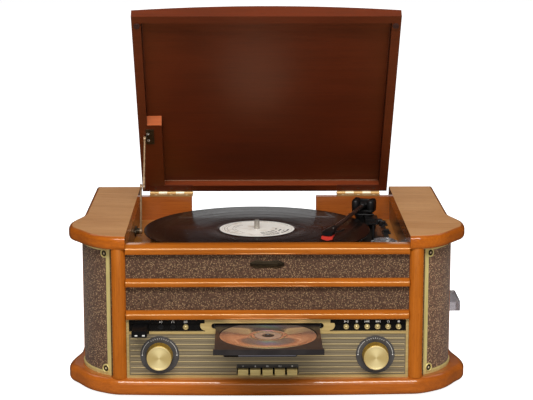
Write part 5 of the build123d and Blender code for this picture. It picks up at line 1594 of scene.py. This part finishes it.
hinge_screw = screw_head(2.2, 0.55)
screw_x = [side * hinge_x + step for side in SIDES for step in (-screw_step, 0, screw_step)]
cabinet_screws = [shifted(hinge_screw, x, 203.6, leaf_top) for x in screw_x]
lid_screws = [under_lid(hinge_screw, x, 9.4) for x in screw_x]
make("hinge_screws_cabinet", joined(cabinet_screws), "hinge_brass")
make("hinge_screws_lid", joined(lid_screws), "hinge_brass", "lid", BROWNED)
dome = lathe([(0, 0.9), (0.8, 0.75), (1.5, 0.3), (1.7, 0), (1.7, -1.0), (0, -1.0)], 24)
pins = [seat(dome, (side * hinge_x + end * pin_x, *hinge_axis[1:]), (0, end, 0))
        for side in SIDES for end in SIDES]
make("hinge_pin_ends", joined(pins), "hinge_brass", material=OLD_BRASS)

bracket_low, bracket_high = extent("stay_wall_bracket")
washered = joined([ring(0, 2.9, -0.1, 0.3, 32, 0.1), screw_head(2.3, 0.9)])
wall_screws = [seat(washered, (bracket_low[0] + 1.6, y, stay_foot_z), DEEP)
               for y in (bracket_low[1] + 4.2, bracket_high[1] - 4.2)]
make("stay_wall_screws", joined(wall_screws), "steel", material=OLD_BRASS)
bracket_x = middle("stay_lid_bracket")[0] - 1.0
bracket_screws = [under_lid(screw_head(2.4, 1.0), bracket_x, 116.0 + step, lid_under - 1.6)
                  for step in (-6.2, 6.2)]
make("stay_lid_screws", joined(bracket_screws), "steel", "lid")
rivet = lathe([(0, 0.9), (1.2, 0.75), (2.1, 0.35), (2.5, 0), (2.5, -0.4), (0, -0.4)], 32)
foot_rivet = seat(rivet, (extent("stay_lower_link")[1][0], 87.2, stay_foot_z), DEEP)
elbow_rivet = seat(rivet, (extent("stay_upper_link")[1][0] - 0.4, 102.2, 229.9), DEEP)
make("stay_foot_rivet", foot_rivet, "steel", "stay_lower")
make("stay_elbow_rivet", elbow_rivet, "steel", "stay_upper")


def lid_bead():
    """A thin bead round the recessed panel, where it meets the frame's sides."""
    half, near, far, depth = 161.6, 15.6, 325.6, 9.6
    corners = np.array(((-half, near), (half, near), (half, far), (-half, far), (-half, near)))
    share = np.linspace(0, 1, 8)[:, None]
    runs = []
    for start, end in zip(corners, corners[1:]):
        flat = start * (1 - share) + end * share
        path = hinge_axis + flat[:, :1] * np.array(RIGHT) + flat[:, 1:] * lid_up
        runs.append(tube(path + (lid_under + depth) * lid_out, 0.7, 8))
    return joined(runs)


make("lid_panel_bead", lid_bead(), "lid_wood", "lid")


# Cassette: reels, tape and screws inside its clear shell, and the frame of its slot

tape_low, tape_high = extent("cassette")
tape_x, tape_y = middle("cassette")[:2]
reel_spacing = 21.25
packs, reels = [], []
for side, pack_r in ((-1, 21.0), (1, 15.0)):
    x = tape_x + side * reel_spacing
    packs.append(shifted(ring(11.2, pack_r, tape_low[2] + 3.6, tape_high[2] - 3.6, 96), x, tape_y))
    reels.append(shifted(ring(5.2, 11.0, tape_low[2] + 3.2, tape_high[2] - 3.2, 64, 0.3), x, tape_y))
    stub = rounded_box(rectangle(3.4, 5.6, -0.6, 0.6, 0.2), tape_low[2] + 3.4, tape_high[2] - 3.4, 0.2)
    reels += [shifted(turned(stub, 60 * tooth), x, tape_y) for tooth in range(6)]
shell_screws = [shifted(screw_head(1.6, 0.6), tape_x + x, tape_y + y, tape_high[2] - 0.15)
                for x, y in ((-46, -27.6), (46, -27.6), (-46, 27.6), (46, 27.6), (0, -25))]
seam = slab(rectangle(tape_low[1] + 0.6, tape_high[1] - 0.6, -0.25, 0.25), -0.1, 0.02)
liner = slab(centred(23, 3.9, 0.8), -1.2, -0.9)
slot_z = 86.0
make("cassette_tape_packs", joined(packs), "cassette_clear", "tape", TAPE_BROWN)
make("cassette_reels", joined(reels), "cassette_clear", "tape", REEL_PALE)
make("cassette_screws", joined(shell_screws), "cassette_clear", "tape", STEEL)
make("cassette_shell_seam", seat(seam, (tape_high[0] - 0.02, 0, slot_z), DEEP), "cassette_clear", "tape",
     FINISHES["mechanism_grey"])
make("cassette_inner_liner", seat(liner, (tape_high[0], tape_y, slot_z), DEEP), "cassette_clear", "tape",
     STEEL)


def open_frame(outer, inner, low, high):
    """A flat frame between two outlines with equally many points, closed all round."""
    rings = [(outer, low), (outer, high - 0.4), (inset(outer, 0.4), high), (inset(inner, -0.3), high),
             (inner, high - 0.3), (inner, low), (outer, low)]
    return stacked(rings), grid_faces(len(rings), len(outer), around=True)


slot_outer = rectangle(tape_low[1] - 4.5, tape_high[1] + 4.5, 75.4, 96.6, 2.0)
slot_inner = rectangle(tape_low[1] - 0.9, tape_high[1] + 0.9, 79.1, 92.9, 1.0)
slot_frame = seat(open_frame(slot_outer, slot_inner, -0.1, 1.4), (side_x, 0, 0), DEEP)
make("cassette_slot_frame", slot_frame, "mechanism_grey", material=COLLAR_BLACK)


# Back: socket rings, cover screws and a bare plate

cover_back = 213.2
panel_back = 210.2
socket_x = 80.0
bare_plate_x, bare_plate_z = -84.0, 75.0
socket_ring = lathe([(4.3, 0), (6.0, 0), (6.0, 0.7), (5.5, 1.1), (4.6, 1.1), (4.3, 0.8), (4.3, 0)], 48)
for z, name, colour, shaded in ((82, "socket_red", (176, 34, 30), (150, 26, 24)),
                                (68, "socket_white", (224, 222, 216), (204, 202, 196))):
    make(f"{name}_ring", seat(socket_ring, (socket_x, cover_back, z), LEFT), "cover_black",
         material=plastic(name, colour, shaded))
cover_low, cover_high = extent("rear_cover")
cover_screw = joined([ring(0, 3.6, -0.1, 0.3, 32, 0.1), screw_head(2.8, 1.2)])
cover_screws = [seat(cover_screw, (x, cover_back, z), LEFT) for x in (cover_low[0] + 6, cover_high[0] - 6)
                for z in (cover_low[2] + 6, cover_high[2] - 6)]
make("rear_cover_screws", joined(cover_screws), "steel")
plate = joined([slab(centred(22, 12, 1.5), -0.1, 0.5, 0.2),
                open_frame(centred(21, 11, 1.2), centred(20.2, 10.2, 0.9), 0.4, 0.7)])
plate = seat(plate, (bare_plate_x, cover_back, bare_plate_z), LEFT)
make("rear_bare_plate", plate, "cover_black", material=STEEL)
panel_screws = [seat(screw_head(3.0, 0.9), (x, panel_back, z), LEFT)
                for x in (-214, -110, 110, 214) for z in (34, 122, 186)]
make("rear_panel_screws", joined(panel_screws), "steel")


# Stage, light and camera, in metres

room_light = 0.3           # the world's light on the piece, against 1 where it is seen
floor_glow = 0.94          # what the floor adds to itself where the camera sees it
WHITE = (1, 1, 1, 1)


def stage_sheet(name, corners, material):
    """A flat sheet of the stage, from its four corners."""
    mesh = bpy.data.meshes.new(name)
    mesh.from_pydata(corners, [], [(0, 1, 2, 3)])
    mesh.materials.append(material)
    sheet = bpy.data.objects.new(name, mesh)
    bpy.context.collection.objects.link(sheet)
    return sheet


def pale_floor():
    """A wide plain floor, white to the camera, that keeps a soft contact shadow."""
    material, tree = material_tree("stage_floor")
    tone = colours(tree, noise(tree, place(tree), 3.0, 2, 0.5), rgb(238, 238, 238), rgb(244, 244, 244))
    rays = put(tree, "ShaderNodeLightPath").outputs
    glow = times(tree, rays["Is Camera Ray"], floor_glow)
    shade(tree, {"Base Color": tone, "Roughness": 0.9, "Specular IOR Level": 0.0,
                 "Emission Color": WHITE, "Emission Strength": glow})
    reach = 6.0
    corners = [(-reach, -reach, 0.0), (reach, -reach, 0.0), (reach, reach, 0.0), (-reach, reach, 0.0)]
    stage_sheet("stage_floor", corners, material)


def dark_tent():
    """Dark sheets that only reflections see, so that the varnish keeps its depth.

    Floor, ceiling, sides, front and back: a gap in the middle of the back stays open to the white."""
    material, tree = material_tree("stage_tent")
    tone = colours(tree, noise(tree, place(tree), 5.0, 2, 0.5), rgb(44, 41, 38), rgb(54, 50, 46))
    shade(tree, {"Base Color": tone, "Roughness": 0.9, "Specular IOR Level": 0.0})
    side, gap, near, far, back, floor, ceiling = 2.6, 0.5, -3.6, 1.4, 3.2, 0.001, 3.0
    low = [(-side, near, floor), (side, near, floor), (side, 5.5, floor), (-side, 5.5, floor)]
    left = [(-side, near, floor), (-side, back, floor), (-side, back, ceiling), (-side, near, ceiling)]
    front = [(-side, near, floor), (side, near, floor), (side, near, ceiling), (-side, near, ceiling)]
    top = [(-side, near, ceiling), (side, near, ceiling), (side, far, ceiling), (-side, far, ceiling)]
    back_left = [(-side, back, floor), (-gap, back, floor), (-gap, back, ceiling), (-side, back, ceiling)]
    sheets = {"floor": low, "left": left, "right": [(-x, y, z) for x, y, z in left], "front": front,
              "top": top, "back_left": back_left, "back_right": [(-x, y, z) for x, y, z in back_left]}
    for name, corners in sheets.items():
        sheet = stage_sheet("stage_tent_" + name, corners, material)
        for kind in ("camera", "diffuse", "shadow", "transmission"):
            setattr(sheet, "visible_" + kind, False)


def studio_world():
    """Even light all round, and plain white to the camera, to reflections and through clear pieces."""
    world = bpy.data.worlds.new("studio")
    bpy.context.scene.world = world
    world.use_nodes = True
    tree = world.node_tree
    tree.nodes.clear()
    rays = put(tree, "ShaderNodeLightPath").outputs
    seen = sums(tree, "MAXIMUM", rays["Is Camera Ray"], rays["Is Transmission Ray"])
    seen = sums(tree, "MAXIMUM", seen, rays["Is Glossy Ray"])
    strength = times_plus(tree, seen, 1.0 - room_light, room_light)
    background = put(tree, "ShaderNodeBackground", {"Color": WHITE, "Strength": strength})
    put(tree, "ShaderNodeOutputWorld", {"Surface": background.outputs[0]})


def softbox(name, where, target, width, height, power):
    """A large area lamp at a place, turned to its target."""
    lamp = bpy.data.lights.new(name, "AREA")
    lamp.shape = "RECTANGLE"
    lamp.size = width
    lamp.size_y = height
    lamp.energy = power
    light = bpy.data.objects.new(name, lamp)
    light.location = where
    light.rotation_euler = (Vector(target) - Vector(where)).to_track_quat("-Z", "Y").to_euler()
    bpy.context.collection.objects.link(light)


pale_floor()
dark_tent()
studio_world()
softbox("key_softbox", (0.0, -1.9, 2.1), (0, -0.05, 0.12), 2.4, 0.75, 76)
softbox("low_fill", (0.0, -3.1, 0.7), (0, 0, 0.15), 2.0, 0.5, 9)

lens = bpy.data.cameras.new("main_view")
lens.lens = 116.0
lens.sensor_width = 36.0
camera = bpy.data.objects.new("main_view", lens)
camera.location = (-0.025408, -2.201912, 0.666373)
camera.rotation_euler = (math.radians(78.83), 0, math.radians(-0.66))
bpy.context.collection.objects.link(camera)

scene = bpy.context.scene
scene.camera = camera
scene.view_settings.view_transform = "Standard"
